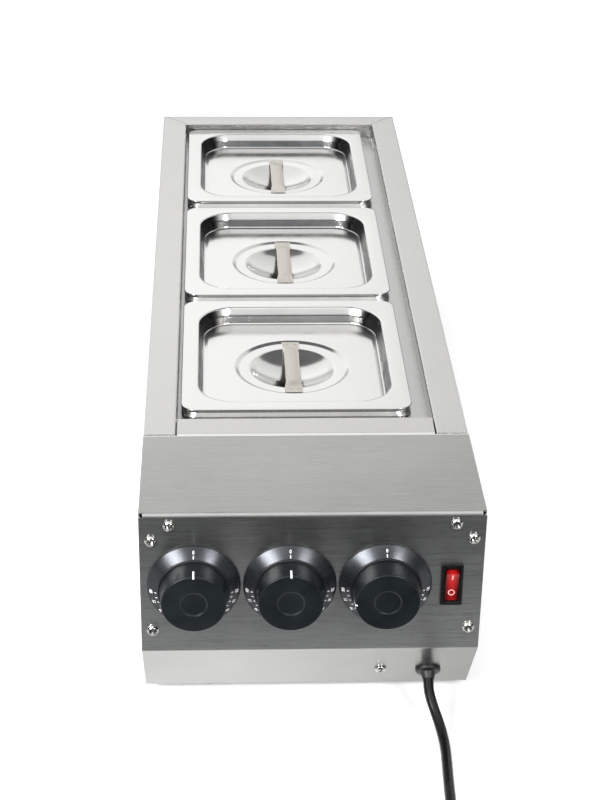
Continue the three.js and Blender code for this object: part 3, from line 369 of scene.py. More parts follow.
def spread(node, factor, low, high, first, last):
    """A value from first to last, by where a factor lies from low to high."""
    span = node(
        "ShaderNodeMapRange",
        inputs={"Value": factor, "From Min": low, "From Max": high, "To Min": first, "To Max": last},
    )
    return span.outputs[0]


def scaled(node, colour, factor):
    """A colour made brighter or darker by a factor."""
    product = node("ShaderNodeVectorMath", operation="SCALE", inputs={0: colour, "Scale": factor})
    return product.outputs[0]


def times(node, value, factor):
    """A value times a factor."""
    product = node("ShaderNodeMath", operation="MULTIPLY", inputs={0: value, 1: factor})
    return product.outputs[0]


def unsigned(node, value):
    """A value without its sign."""
    size = node("ShaderNodeMath", operation="ABSOLUTE", inputs={0: value})
    return size.outputs[0]


def new_group(name, inputs, outputs):
    """A node group with its sockets, a maker for its nodes, and its two end nodes."""
    tree = bpy.data.node_groups.new(name, "ShaderNodeTree")
    for label, kind, value in inputs:
        tree.interface.new_socket(label, in_out="INPUT", socket_type=kind).default_value = value
    for label, kind in outputs:
        tree.interface.new_socket(label, in_out="OUTPUT", socket_type=kind)
    node = nodes_of(tree)
    return tree, node, node("NodeGroupInput"), node("NodeGroupOutput")


def brushed_grain():
    """Fine scratches that run one way: a tone, a soft cloud and a normal."""
    tree, node, given, out = new_group(
        "brushed_grain",
        (("Stretch", "NodeSocketVector", (1, 1, 1)), ("Depth", "NodeSocketFloat", 0.3)),
        (("Tone", "NodeSocketFloat"), ("Cloud", "NodeSocketFloat"), ("Normal", "NodeSocketVector")),
    )
    place = node("ShaderNodeTexCoord").outputs["Object"]
    along = node(
        "ShaderNodeVectorMath",
        operation="MULTIPLY",
        inputs={0: place, 1: given.outputs["Stretch"]},
    ).outputs[0]
    fine = node(
        "ShaderNodeTexNoise",
        inputs={"Vector": along, "Scale": 1.0, "Detail": 4.0, "Roughness": 0.7},
    )
    broad = node("ShaderNodeTexNoise", inputs={"Vector": along, "Scale": 0.28, "Detail": 2.0})
    cloud = node("ShaderNodeTexNoise", inputs={"Vector": place, "Scale": 11.0, "Detail": 4.0})
    tone = node(
        "ShaderNodeMath",
        operation="MULTIPLY_ADD",
        inputs={0: broad.outputs[0], 1: 0.35, 2: fine.outputs[0]},
    )
    share = node("ShaderNodeMath", operation="DIVIDE", inputs={0: tone.outputs[0], 1: 1.35})
    bump = node(
        "ShaderNodeBump",
        inputs={"Strength": given.outputs["Depth"], "Distance": 0.0003, "Height": fine.outputs[0]},
    )
    tree.links.new(share.outputs[0], out.inputs["Tone"])
    tree.links.new(cloud.outputs[0], out.inputs["Cloud"])
    tree.links.new(bump.outputs[0], out.inputs["Normal"])
    return tree


def fine_texture():
    """The dull grain of a moulded or rubber surface: a tone and a normal."""
    tree, node, given, out = new_group(
        "fine_texture",
        (("Size", "NodeSocketFloat", 1.0), ("Depth", "NodeSocketFloat", 0.2)),
        (("Tone", "NodeSocketFloat"), ("Normal", "NodeSocketVector")),
    )
    place = node("ShaderNodeTexCoord").outputs["Object"]
    scale = node("ShaderNodeMath", operation="DIVIDE", inputs={0: 1000.0, 1: given.outputs["Size"]})
    grain = node("ShaderNodeTexNoise", inputs={"Vector": place, "Scale": scale.outputs[0], "Detail": 3.0})
    patch = node("ShaderNodeTexNoise", inputs={"Vector": place, "Scale": 60.0, "Detail": 4.0})
    bump = node(
        "ShaderNodeBump",
        inputs={"Strength": given.outputs["Depth"], "Distance": 0.0002, "Height": grain.outputs[0]},
    )
    tree.links.new(patch.outputs[0], out.inputs["Tone"])
    tree.links.new(bump.outputs[0], out.inputs["Normal"])
    return tree


GRAIN = brushed_grain()
TEXTURE = fine_texture()


# Finishes
def new_finish(name, **values):
    """A material with a Principled shader, and a maker for its other nodes."""
    finish = bpy.data.materials.new(name)
    finish.use_nodes = True
    shader = finish.node_tree.nodes["Principled BSDF"]
    for key, value in values.items():
        shader.inputs[key.replace("_", " ")].default_value = value
    return finish, nodes_of(finish.node_tree), shader


def lid_painted_shade(node, colour, rough):
    """Painted shade: darker where a lid's pressed walls face left or right, and duller there too."""
    place = node("ShaderNodeTexCoord")
    facing = node("ShaderNodeSeparateXYZ", inputs={0: place.outputs["Normal"]})
    side = unsigned(node, facing.outputs["X"])
    # painted shade: the colour darkened on walls that face sideways
    colour = scaled(node, colour, spread(node, side, 0.42, 0.62, 1.0, 0.11))
    return colour, times(node, rough, spread(node, side, 0.55, 0.75, 1.0, 2.2))


def cover_painted_light(node, colour, rough):
    """Painted light on the cover: a painted highlight along its rear bend, which is also smoother there;
    painted light and shade up its front panel, lighter low and darker high; and painted shade across its
    slope, darker towards the right.

    The places are in the scene's metres.
    """
    place = node("ShaderNodeTexCoord")
    where = node("ShaderNodeSeparateXYZ", inputs={0: place.outputs["Object"]})
    # painted highlight: the colour doubled along the rear bend
    behind = spread(node, where.outputs["Y"], -0.2503, -0.2501, 0.0, 1.0)
    colour = scaled(node, colour, spread(node, behind, 0, 1, 1.0, 2.1))
    # painted light and shade on the front panel: lighter near its foot, darker near the top
    panel = spread(node, where.outputs["Z"], 0.075, 0.160, 1.22, 0.66)
    colour = scaled(node, colour, spread(node, where.outputs["Y"], -0.3500, -0.3490, panel, 1.0))
    # painted shade on the slope: darker towards the right
    slope = spread(node, where.outputs["X"], -0.05, 0.11, 1.0, 0.66)
    colour = scaled(node, colour, spread(node, where.outputs["Z"], 0.064, 0.066, slope, 1.0))
    return colour, times(node, rough, spread(node, behind, 0, 1, 1.0, 0.3))


def brushed(name, stretch, dark, light, roughness, depth, across=0.0, painted_by_place=None):
    """Brushed metal. across blurs what it mirrors over the grain, and the function for painted light, where
    given, paints light and shade into its colour by place.
    """
    finish, node, shader = new_finish(name, Metallic=1.0)
    link = finish.node_tree.links.new
    grain = node("ShaderNodeGroup", node_tree=GRAIN, inputs={"Stretch": stretch, "Depth": depth})
    tone = node(
        "ShaderNodeMath",
        operation="MULTIPLY_ADD",
        inputs={0: grain.outputs["Cloud"], 1: 0.35, 2: grain.outputs["Tone"]},
    )
    colour = shade(node, tone.outputs[0], dark, light, 0.42, 0.93)
    rough = spread(node, grain.outputs["Tone"], 0.3, 0.7, roughness - 0.05, roughness + 0.06)
    # painted light and shade, by place
    if painted_by_place:
        colour, rough = painted_by_place(node, colour, rough)
    if across:
        direction = node("ShaderNodeCombineXYZ", inputs={"X": 1.0, "Y": 0.0, "Z": 0.0})
        link(direction.outputs[0], shader.inputs["Tangent"])
        shader.inputs["Anisotropic"].default_value = across
        shader.inputs["Anisotropic Rotation"].default_value = 0.25
    link(colour, shader.inputs["Base Color"])
    link(rough, shader.inputs["Roughness"])
    link(grain.outputs["Normal"], shader.inputs["Normal"])
    return finish


def textured(name, dark, light, size, depth, roughness, **values):
    """A plastic, rubber or fibre finish. size and depth are those of its fine grain."""
    finish, node, shader = new_finish(name, **values)
    link = finish.node_tree.links.new
    texture = node("ShaderNodeGroup", node_tree=TEXTURE, inputs={"Size": size, "Depth": depth})
    tone = texture.outputs["Tone"]
    link(shade(node, tone, dark, light, 0.3, 0.7), shader.inputs["Base Color"])
    link(spread(node, tone, 0.3, 0.7, roughness - 0.03, roughness + 0.05), shader.inputs["Roughness"])
    link(texture.outputs["Normal"], shader.inputs["Normal"])
    return finish


def clear_red():
    """Red clear plastic with painted light: bright along its middle, with painted shade dark to its sides
    and its foot.
    """
    dark, light = (0.24, 0.003, 0.003), (0.36, 0.009, 0.008)
    finish = textured("switch_red_clear", dark, light, 0.8, 0.03, 0.16, Specular_IOR_Level=0.30)
    node = nodes_of(finish.node_tree)
    base = finish.node_tree.nodes["Principled BSDF"].inputs["Base Color"]
    place = node("ShaderNodeTexCoord")
    where = node("ShaderNodeSeparateXYZ", inputs={0: place.outputs["Object"]})
    across = node("ShaderNodeMath", operation="SUBTRACT", inputs={0: where.outputs["X"], 1: SWITCH_X * MM})
    side = unsigned(node, across.outputs[0])
    # painted shade: darker towards the paddle's sides
    colour = scaled(node, base.links[0].from_socket, spread(node, side, 0.0008, 0.0042, 1.0, 0.16))
    low, high = (SWITCH_Z - 9) * MM, (SWITCH_Z + 2) * MM
    # painted shade: darker towards the paddle's foot
    colour = scaled(node, colour, spread(node, where.outputs["Z"], low, high, 0.55, 1.0))
    finish.node_tree.links.new(colour, base)
    return finish


# How fine the scratches are along X, Y and Z
ALONG = (2600, 60, 2600)
ACROSS = (60, 2600, 2600)
SWEEP = (80, 2400, 2400)
EVEN = (60, 60, 60)

RAIL_STEEL = brushed("rail_steel", ALONG, (0.49, 0.487, 0.475), (0.56, 0.556, 0.543), 0.26, 0.10)
CROSS_STEEL = brushed("cross_rail_steel", ACROSS, (0.49, 0.485, 0.475), (0.56, 0.555, 0.543), 0.26, 0.06)
# The cover's steel carries a painted highlight and painted shade by place
COVER_STEEL = brushed(
    "control_box_steel",
    SWEEP,
    (0.36, 0.36, 0.35),
    (0.565, 0.565, 0.553),
    0.30,
    0.06,
    across=0.8,
    painted_by_place=cover_painted_light,
)
DECK_STEEL = brushed("deck_steel", ALONG, (0.43, 0.43, 0.425), (0.49, 0.49, 0.485), 0.28, 0.08)
PAN_STEEL = brushed("polished_pan_steel", EVEN, (0.56, 0.557, 0.55), (0.62, 0.617, 0.61), 0.14, 0.02)
# The lids' walls that face left or right get painted shade
LID_STEEL = brushed(
    "polished_lid_steel",
    EVEN,
    (0.60, 0.597, 0.59),
    (0.65, 0.647, 0.64),
    0.15,
    0.02,
    painted_by_place=lid_painted_shade,
)
STRAP_STEEL = brushed("strap_steel_matte", ALONG, (0.48, 0.455, 0.41), (0.62, 0.60, 0.55), 0.40, 0.2)
SCREW_STEEL = brushed("plated_screw", EVEN, (0.48, 0.48, 0.465), (0.60, 0.60, 0.585), 0.12, 0.02)
ZINC = brushed("galvanised_sheet_metal", EVEN, (0.34, 0.355, 0.37), (0.50, 0.515, 0.53), 0.42, 0.1)
ALUMINIUM = brushed("mill_aluminium", ALONG, (0.42, 0.43, 0.44), (0.56, 0.57, 0.58), 0.38, 0.2)
BRASS = brushed("sensor_brass_metal", ALONG, (0.40, 0.30, 0.14), (0.56, 0.44, 0.24), 0.32, 0.1)
KNOB = textured(
    "knob_black_satin",
    (0.003, 0.0045, 0.0055),
    (0.006, 0.0085, 0.010),
    0.25,
    0.10,
    0.30,
    Specular_IOR_Level=0.28,
)
SKIRT = textured(
    "skirt_black_sheen",
    (0.032, 0.034, 0.038),
    (0.050, 0.053, 0.058),
    0.3,
    0.05,
    0.26,
    Metallic=0.8,
)
BEZEL = textured(
    "switch_black_gloss",
    (0.002, 0.002, 0.002),
    (0.005, 0.005, 0.005),
    0.4,
    0.04,
    0.22,
    Specular_IOR_Level=0.3,
)
SHEATH = textured(
    "lead_sheath",
    (0.0015, 0.0015, 0.002),
    (0.004, 0.004, 0.005),
    0.6,
    0.10,
    0.27,
    Specular_IOR_Level=0.34,
)
RED = clear_red()
PRINT = textured("white_print", (0.72, 0.72, 0.72), (0.86, 0.86, 0.86), 0.2, 0.05, 0.45)
PINK = textured("switch_print", (0.62, 0.34, 0.32), (0.74, 0.46, 0.44), 0.2, 0.05, 0.4)
RUBBER = textured("black_rubber_matte", (0.002, 0.002, 0.002), (0.006, 0.006, 0.006), 0.3, 0.2, 0.45)
PAD = textured("silicone_pad_red", (0.36, 0.10, 0.045), (0.50, 0.17, 0.08), 0.5, 0.3, 0.6)
WOOL = textured("mineral_wool_mat", (0.48, 0.40, 0.22), (0.72, 0.64, 0.42), 1.5, 1.0, 0.9)
CREAM = textured("terminal_cream", (0.66, 0.62, 0.52), (0.78, 0.74, 0.64), 0.4, 0.1, 0.4)
SLEEVE = textured("loom_glass_sleeve", (0.42, 0.40, 0.36), (0.62, 0.60, 0.55), 0.6, 0.9, 0.8)
TIE = textured("tie_loop_fabric", (0.008, 0.008, 0.008), (0.03, 0.03, 0.03), 0.35, 0.9, 0.85)

# Mains lead: the free stretch, then the stored coil
CORD = 7
CORD_HALF = CORD / 2
COIL_INNER = 28.95
COIL_PITCH = 7.6
COIL_LAYER = 7.6
COIL_TURNS = 6.25
COIL_STEPS = 24
COIL_END_X = 86.2
COIL_Y = -168
COIL_LOW = 1.3 + CORD_HALF
COIL_OUTER = COIL_INNER + COIL_PITCH * COIL_TURNS / 2
COIL_X = COIL_END_X - COIL_OUTER
TIE_GAP = 0.35
GLAND_NOSE = 8
ROUTE = (
    (82.3, 6.1, 17.3),
    (84.6, -0.9, 12.4),
    (86.7, -8.5, 8.4),
    (88.1, -17, 5.5),
    (88.7, -27, 3.9),
    (88.4, -38, 3.5),
    (87.6, -54, 3.5),
    (86.9, -70, 3.5),
    (86.4, -86, 3.5),
    (86.2, -104, 3.5),
    (86.2, -122, 3.7),
    (86.2, -140, 4.4),
    (86.2, -154, 4.8),
    (86.2, -160.7, 4.8),
)


def coil_points():
    """The coil, inwards on the floor and outwards in a layer on top, and where the plug begins."""
    points = []
    for step in range(round(COIL_TURNS * COIL_STEPS) + 1):
        turn = step / COIL_STEPS
        off = turn - COIL_TURNS / 2
        radius = COIL_INNER + COIL_PITCH * abs(off)
        climb = min(max(2 * off + 0.5, 0), 1)
        angle = -TAU * turn
        x = COIL_X + radius * math.cos(angle)
        points.append((x, COIL_Y + radius * math.sin(angle), COIL_LOW + COIL_LAYER * climb))
    x, y, z = points[-1]
    return points, (x - CORD - 0.3, y, z)


def make_lead():
    coil, plug_start = coil_points()
    first = on_slope(*GLAND, GLAND_NOSE - 0.4)
    second = on_slope(*GLAND, GLAND_NOSE + CORD)
    points = [first, second, *ROUTE, *coil, plug_start]
    data = bpy.data.curves.new("mains_lead", "CURVE")
    data.dimensions = "3D"
    data.bevel_depth = CORD_HALF * MM
    data.bevel_resolution = 6
    data.resolution_u = 4
    data.use_fill_caps = True
    spline = data.splines.new("BEZIER")
    spline.bezier_points.add(len(points) - 1)
    for knot, point in zip(spline.bezier_points, points):
        knot.co = at(*point)
        knot.handle_left_type = knot.handle_right_type = "AUTO"
    data.materials.append(SHEATH)
    lead = bpy.data.objects.new("mains_lead", data)
    bpy.context.scene.collection.objects.link(lead)
    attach(lead, "chassis")
    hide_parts("power_cord", "cord_coil")
    return lead, at(*first), plug_start


def tie():
    """A loop of tie fabric round the bundle of turns, on the coil's left side."""
    inner = COIL_INNER - CORD_HALF - TIE_GAP
    outer = COIL_OUTER + CORD_HALF + TIE_GAP
    low = COIL_LOW - CORD_HALF - TIE_GAP
    high = COIL_LOW + COIL_LAYER + CORD_HALF + TIE_GAP
    centre = (COIL_X - (inner + outer) / 2, (low + high) / 2)
    half_u, half_v = (outer - inner) / 2, (high - low) / 2
    rings = []
    for thick, y in ((0, -6), (0.9, -6), (0.9, 6), (0, 6), (0, -6)):
        outline = rectangle(half_u + thick, half_v + thick, 2.5 + thick, 8, centre)
        rings.append([(u, COIL_Y + y, v) for u, v in outline])
    piece = put_up("lead_tie", lofted(rings, closed=False), TIE, "chassis", ["cord_tie"])
    soften(piece, 0.25)
    return piece


def pin(outline, centre, stations):
    """A pin along X. Each station is a place and how much of its width and height is left there."""
    y, z = centre
    rings = []
    for x, wide, high in stations:
        rings.append([(x, y + (u - y) * wide, z + (v - z) * high) for u, v in outline])
    return lofted(rings)


def plug(start):
    """Moulded plug on the end of the lead, lying on the floor beside the coil."""
    x, y, z = start
    body_start = x - 34
    face = body_start - 30
    half_height = z - 0.1
    stations = (
        (0, 0.62, 0.50),
        (0.6, 0.86, 0.86),
        (2.5, 1, 1),
        (20, 1, 1),
        (24, 0.93, 0.96),
        (28.6, 0.9, 0.92),
        (30, 0.82, 0.86),
    )
    body = []
    for along, wide, high in stations:
        half_v = half_height * high
        outline = rectangle(13 * wide, half_v, min(6, 0.9 * half_v), 8, (y, z))
        body.append([(body_start - along, u, v) for u, v in outline])
    sleeve = []
    for i in range(25):
        share = i / 24
        ridge = 0.55 if i % 3 == 1 and i < 22 else 0
        radius = 3.6 + 2.4 * share + ridge
        outline = rectangle(radius, radius, radius - 0.01, 8, (y, z))
        sleeve.append([(x - 34.5 * share, u, v) for u, v in outline])
    shape = together(lofted(body), lofted(sleeve))
    grip = put_up("plug_grip", shape, SHEATH, "chassis", ["plug"], smooth=50)

    half_row = 11.9 / 2
    pins = []
    for side in (-1, 1):
        centre = (y - half_row, z + side * 6.35)
        blade = rectangle(3.15, 0.75, 0.5, 4, centre)
        pins.append(pin(blade, centre, ((face + 1, 1, 1), (face - 15.2, 1, 1), (face - 16, 0.8, 0.6))))
    centre = (y + half_row, z)
    stations = ((face + 1, 1, 1), (face - 16.5, 1, 1), (face - 18.3, 0.8, 0.8), (face - 19, 0.4, 0.4))
    pins.append(pin(rectangle(2.4, 2.4, 2.39, 8, centre), centre, stations))
    blades = put_up("plug_pins", together(*pins), BRASS, "chassis", [], smooth=50)
    return grip, blades


make_camera()
lead, lead_exit, plug_start = make_lead()
lead_tie = tie()
plug_pieces = plug(plug_start)
tuple(lead_exit)


# Sheet metal and the inside pieces, as they are in the solid model
def finish_node(name, finish, edge=0.2):
    """Gives a piece of the solid model its finish and rounded, cleanly shaded edges."""
    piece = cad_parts[name]
    mesh = piece.data
    if "custom_normal" in mesh.attributes:
        mesh.attributes.remove(mesh.attributes["custom_normal"])
    mesh.shade_smooth()
    mesh.materials.clear()
    mesh.materials.append(finish)
    weld = piece.modifiers.new("joined_corners", "WELD")
    weld.merge_threshold = 1e-6
    flat = piece.modifiers.new("whole_faces", "DECIMATE")
    flat.decimate_type = "DISSOLVE"
    flat.angle_limit = math.radians(0.5)
    if edge:
        soften(piece, edge, 2, 38)
    shading = piece.modifiers.new("flat_faces", "WEIGHTED_NORMAL")
    shading.weight = 60


for side in ("left", "right"):
    finish_node(f"{side}_side_panel", RAIL_STEEL)
finish_node("rear_panel", CROSS_STEEL)
finish_node("front_cross_rail", CROSS_STEEL)
finish_node("control_cover", COVER_STEEL)
finish_node("deck_plate", DECK_STEEL, 0.15)
finish_node("base_plate", ZINC)
finish_node("partition_wall", ZINC)
finish_node("insulation_blanket", WOOL, 2)
finish_node("terminal_block", CREAM, 0.4)
finish_node("wiring_loom", SLEEVE, 0)
for i in (1, 2, 3):
    finish_node(f"heating_tray_{i}", ALUMINIUM, 0)
    finish_node(f"heater_pad_{i}", PAD, 0.4)
    finish_node(f"thermostat_{i}", ZINC, 0.3)
    finish_node(f"thermostat_shaft_{i}", BRASS, 0.2)
    finish_node(f"sensor_{i}", BRASS, 0)


# The deck's outer edges, pressed up against the walls of the step
for side, name in ((-1, "left"), (1, "right")):
    low, high = DECK - 0.8, DECK + 0.03
    strip = block(side * 86.3, side * 87.95, BAY_FRONT + 0.4, BAY_BACK - 0.4, low, high)
    put_up(f"deck_edge_{name}", strip, DECK_STEEL, "chassis", [])


# Pans and their lids
def put_pressing(name, shape, finish, body, node):
    """A pan or lid from its skin, with every point of its rings kept."""
    piece = put_up(name, shape, finish, body, [node], 40, joined=False)
    thicken(piece, PAN_SHEET)


def pan(i, y):
    curl = [(1.6, -6.6), (0.1, -6.6), (0.5, -5), (1.9, -2.3), (2, 0), (11.2, 0)]
    wall = [(11.2, -24), (13, -26.6), (22.2, PAN_FLOOR), (32, PAN_FLOOR)]
    profile = rounded(curl + wall, [0.5, 1.5, 0.3, 0.2, 2.2, 2, 2.5, 9], 7)

    def corner_at(inset):
        return 10 if inset < 2.5 else min(10 + (inset - 2.5) * 1.7, 22)

    shape = pressed(profile, y, RIM, corner_at, 16)
    put_pressing(f"food_pan_{i}", shape, PAN_STEEL, f"pan_body_{i}", f"pan_{i}")


def lid(i, y):
    """A lid with a rim, a recess round its panel, a stepped ring and the bowl of its finger dish."""
    rim = [(0.05, -0.35), (0.4, 0), (12, 0), (14.9, -5.4), (16.5, -12.4), (20.5, PANEL), (30, PANEL)]
    profile = rounded(rim, [0.3, 1.7, 8, 1.6, 5], 9)
    ball = (DISH * DISH + DISH_DEPTH * DISH_DEPTH) / (2 * DISH_DEPTH)

    def bowl(r):
        return r, LEDGE - DISH_DEPTH + ball - math.sqrt(ball * ball - r * r)

    ring = [(44, PANEL), (42.4, PANEL), (39.6, LEDGE), (DISH, LEDGE), bowl(DISH - 4)]
    profile += [("round", r, h) for r, h in rounded(ring, [1.6, 1.6, 5], 6)[:-1]]
    for step in range(1, 25):
        profile.append(("round", *bowl((DISH - 3) * (1 - step / 24.5))))

    def corner_at(inset):
        return 10 + inset * 17 / 12.2 if inset < 12.2 else 27 - (inset - 12.2) * 0.7

    def side_inset(inset):
        return inset - 0.4 * min(max(inset - 12, 0), 4.5)

    shape = pressed(profile, y, LID, corner_at, 22, side_inset)
    put_pressing(f"pressed_lid_{i}", shape, LID_STEEL, f"lid_body_{i}", f"lid_{i}")


def strap(i, y):
    """Handle across the dish: flat welded feet, and between them a grip with its edges turned down."""
    low = LID + LEDGE + 0.3
    half, foot, bend = 39.4, 6.4, 10
    places = [-half, foot - half]
    places += [foot - half + bend * step / 10 for step in range(1, 11)]
    places += [-place for place in places[::-1]]
    rings = []
    for place in places:
        share = min(max((half - foot - abs(place)) / bend, 0), 1)
        arch = share * share * (3 - 2 * share)
        top = []
        for step in range(13):
            across = step / 6 - 1
            rise = 1.1 * arch * (1 - abs(across) ** 2.6)
            top.append((PAN_X + across * (6.5 - arch), y + place, low + STRAP_SHEET + rise))
        rings.append(top + [(u, v, w - STRAP_SHEET) for u, v, w in top[::-1]])
    shapes = [lofted(rings)]
    weld_points, weld_faces = revolved([(0, 0.3), (0.7, 0.26), (1.2, 0.12), (1.5, -0.1), (0, -0.1)], 14)
    for end in (-1, 1):
        for side in (-1, 1):
            x, middle = PAN_X + side * 3.3, y + end * 35.7
            points = [(x + px, middle + pz, low + STRAP_SHEET - py) for px, py, pz in weld_points]
            shapes.append((points, weld_faces))
    shape = together(*shapes)
    piece = put_up(
        f"strap_handle_{i}", shape, STRAP_STEEL, f"lid_body_{i}", [f"lid_strap_{i}"]
    )
    soften(piece, 0.25)


for i, y in enumerate(PAN_Y, 1):
    pan(i, y)
    lid(i, y)
    strap(i, y)


# Dials: a fixed skirt with its scale, and a cap with a white index line
SCALE_START = 95
SCALE_STEP = 17
PRINT_HALF = 0.05


def cone_out(radius):
    """How far the skirt's cone stands out of the panel at a radius."""
    return 6.9 - (radius - 22.5) * 5.7 / 7.5


def lettering(text, height):
    """A flat text in millimetres, centred, its depth along Z."""
    data = bpy.data.curves.new("lettering", "FONT")
    data.body = text
    data.size = height * 1.35
    data.extrude = PRINT_HALF
    data.align_x = "CENTER"
    data.align_y = "CENTER"
    data.resolution_u = 3
    words = bpy.data.objects.new("lettering", data)
    bpy.context.scene.collection.objects.link(words)
    bpy.context.view_layer.update()
    mesh = bpy.data.meshes.new_from_object(words.evaluated_get(bpy.context.evaluated_depsgraph_get()))
    points = [tuple(v.co) for v in mesh.vertices]
    faces = [tuple(p.vertices) for p in mesh.polygons]
    bpy.data.objects.remove(words)
    return points, faces


def bent_to_cone(shape, x, angle, radius):
    """Lays a flat mark on the skirt, its middle at an angle clockwise from the top."""
    points = []
    for u, v, w in shape[0]:
        r = radius + v
        turn = math.radians(angle) + u / radius
        out = cone_out(r) + PRINT_HALF + w
        points.append((x + r * math.sin(turn), -out, DIAL_Z + r * math.cos(turn)))
    return points, shape[1]


def dial(i, x):
    hub = (x, 0, DIAL_Z)
    outside = [(28.8, 0.1), (30, 0.1), (30, 1.2), (22.6, 6.9), (21.6, 7.5), (7, 7.5)]
    inside = [(7, 6.3), (20.1, 6.3), (28.8, 0.9)]
    skirt = revolved(rounded(outside + inside, [0.2, 0.5, 0.9, 0.8, 0.2, 0.2, 0.3], 3), 96, hub)
    put_up(f"scale_skirt_{i}", skirt, SKIRT, "chassis", [f"dial_skirt_{i}"], 40)
    # A black ring at the cap's base: painted shadow of the gap under the cap
    shadow_ring = revolved([(20, 6.4), (23.1, 6.4), (23.1, 7.7), (22.85, 7.95), (20, 7.95)], 96, hub)
    put_up(f"knob_shadow_ring_{i}", shadow_ring, RUBBER, "chassis", [], 30)
    tick = block(-0.3, 0.3, -0.8, 0.8, -PRINT_HALF, PRINT_HALF)
    dot = block(-0.22, 0.22, -0.6, 0.6, -PRINT_HALF, PRINT_HALF)
    marks = [bent_to_cone(lettering("0", 2), x, 0, 26.9), bent_to_cone(tick, x, 0, 24.4)]
    for step in range(11):
        angle = SCALE_START + SCALE_STEP * step
        marks.append(bent_to_cone(lettering(str(30 + 5 * step), 2.1), x, angle, 27.4))
        marks.append(bent_to_cone(dot, x, angle, 24.6))
        if step < 10:
            marks.append(bent_to_cone(dot, x, angle + SCALE_STEP / 2, 24.6))
    put_up(f"scale_print_{i}", together(*marks), PRINT, "chassis", [], 30, joined=False)


def cap(i, x):
    base, face, roof = 8.1, 22.5, 18.9
    outline = [(22, base), (20.75, face), (9.1, face), (7.9, face - 0.75), (0, face - 0.9)]
    top = rounded(outline, [1.1, 0.5, 0.9], 6)
    under = [(0, roof), (3.3, roof), (3.3, base), (6.5, base), (6.5, roof), (18.9, roof), (20.2, base)]
    body = revolved(top + under, 96, (x, 0, DIAL_Z))
    groove = block(x - 0.55, x + 0.55, -30, -16.4, DIAL_Z + 19.2, DIAL_Z + 30)
    mesh = carved(body, [groove])
    line = ((-22.42, 19.25), (-22.42, 20.3), (-21.6, 20.85), (-16.45, 21.25), (-16.45, 19.25))
    inlay = drawn([(y, DIAL_Z + z) for y, z in line], x - 0.53, x + 0.53, "x")
    hub = at(x, 0, DIAL_Z)
    turn = math.radians(THIRD_TURN if i == 3 else 0)
    spin = Matrix.Translation(hub) @ Matrix.Rotation(turn, 4, "Y") @ Matrix.Translation(-hub)
    mesh.transform(spin)
    dress(f"dial_cap_{i}", mesh, KNOB, f"dial_{i}", [f"control_knob_{i}"], 32)
    piece = put_up(f"index_line_{i}", inlay, PRINT, f"dial_{i}", [])
    piece.data.transform(spin)


for i, x in enumerate(DIALS, 1):
    dial(i, x)
    cap(i, x)


# Rocker switch
PIVOT_Y = 1.5
PADDLE_HALF = 11.35


def bezel():
    """The switch housing with its rounded frame, and its three terminals behind."""
    rings = []
    for half_u, half_v, corner, y in (
        (6.35, 13.85, 0.5, 18),
        (6.35, 13.85, 0.5, -0.1),
        (7.2, 15.25, 0.9, -0.1),
        (7.2, 15.25, 0.9, -1.4),
        (7.0, 15.05, 0.8, -1.85),
        (6.7, 14.75, 0.7, -2),
        (4.9, 12.8, 0.5, -2),
        (4.7, 12.55, 0.4, -1.8),
        (4.65, 12.5, 0.4, 9),
    ):
        outline = rectangle(half_u, half_v, corner, 6, (SWITCH_X, SWITCH_Z))
        rings.append([(u, y, v) for u, v in outline])
    shapes = [lofted(rings)]
    for place in (-1, 0, 1):
        z = SWITCH_Z + place * 13.85 / 2
        shapes.append(block(SWITCH_X - 3.15, SWITCH_X + 3.15, 17, 26, z - 0.4, z + 0.4))
    put_up("switch_bezel", together(*shapes), BEZEL, "chassis", ["switch_housing"], 30)


def tipped(y, z):
    """A place on the paddle, from its pivot, at its rest angle."""
    tilt = math.radians(ROCKER_TILT)
    tipped_y = PIVOT_Y + y * math.cos(tilt) - z * math.sin(tilt)
    return tipped_y, SWITCH_Z + y * math.sin(tilt) + z * math.cos(tilt)


def paddle_face(z):
    """The paddle's hollow face at a height."""
    return -4.6 + 1.4 * (1 - (z / PADDLE_HALF) ** 2)


def paddle():
    heights = [PADDLE_HALF - 2 * PADDLE_HALF * step / 16 for step in range(17)]
    outline = [(paddle_face(z), z) for z in heights]
    outline += [(0, -PADDLE_HALF), (3.4, -PADDLE_HALF / 2), (3.4, PADDLE_HALF / 2), (0, PADDLE_HALF)]
    shape = drawn([tipped(y, z) for y, z in outline], SWITCH_X - 4.25, SWITCH_X + 4.25, "x")
    piece = put_up("switch_paddle", shape, RED, "rocker", ["switch_rocker"], 40)
    soften(piece, 0.35, 3)


def paddle_marks():
    """The stroke and the circle printed on the paddle."""
    back, front = -0.05, 0.06
    stroke = block(-0.3, 0.3, -2.1, 2.1, back, front)
    outer, inner = 2.2, 1.65
    rings = []
    for step in range(33):
        angle = TAU * step / 32
        u, v = math.cos(angle), math.sin(angle)
        section = ((outer, back), (outer, front), (inner, front), (inner, back))
        rings.append([(r * u, r * v, w) for r, w in section])
    circle = lofted(rings, closed=False)
    marks = []
    for (flat_points, faces), height in ((stroke, 7.9), (circle, -5.2)):
        points = []
        for u, v, w in flat_points:
            z = height + v
            points.append((SWITCH_X + u, *tipped(paddle_face(z) - 0.03 - w, z)))
        marks.append((points, faces))
    put_up("switch_marks", together(*marks), PINK, "rocker", [], 30)


bezel()
paddle()
paddle_marks()


# Screws, gland and feet
# A piece that is turned into place is first drawn round this point
ORIGIN = (0, -PANEL_Y, 0)


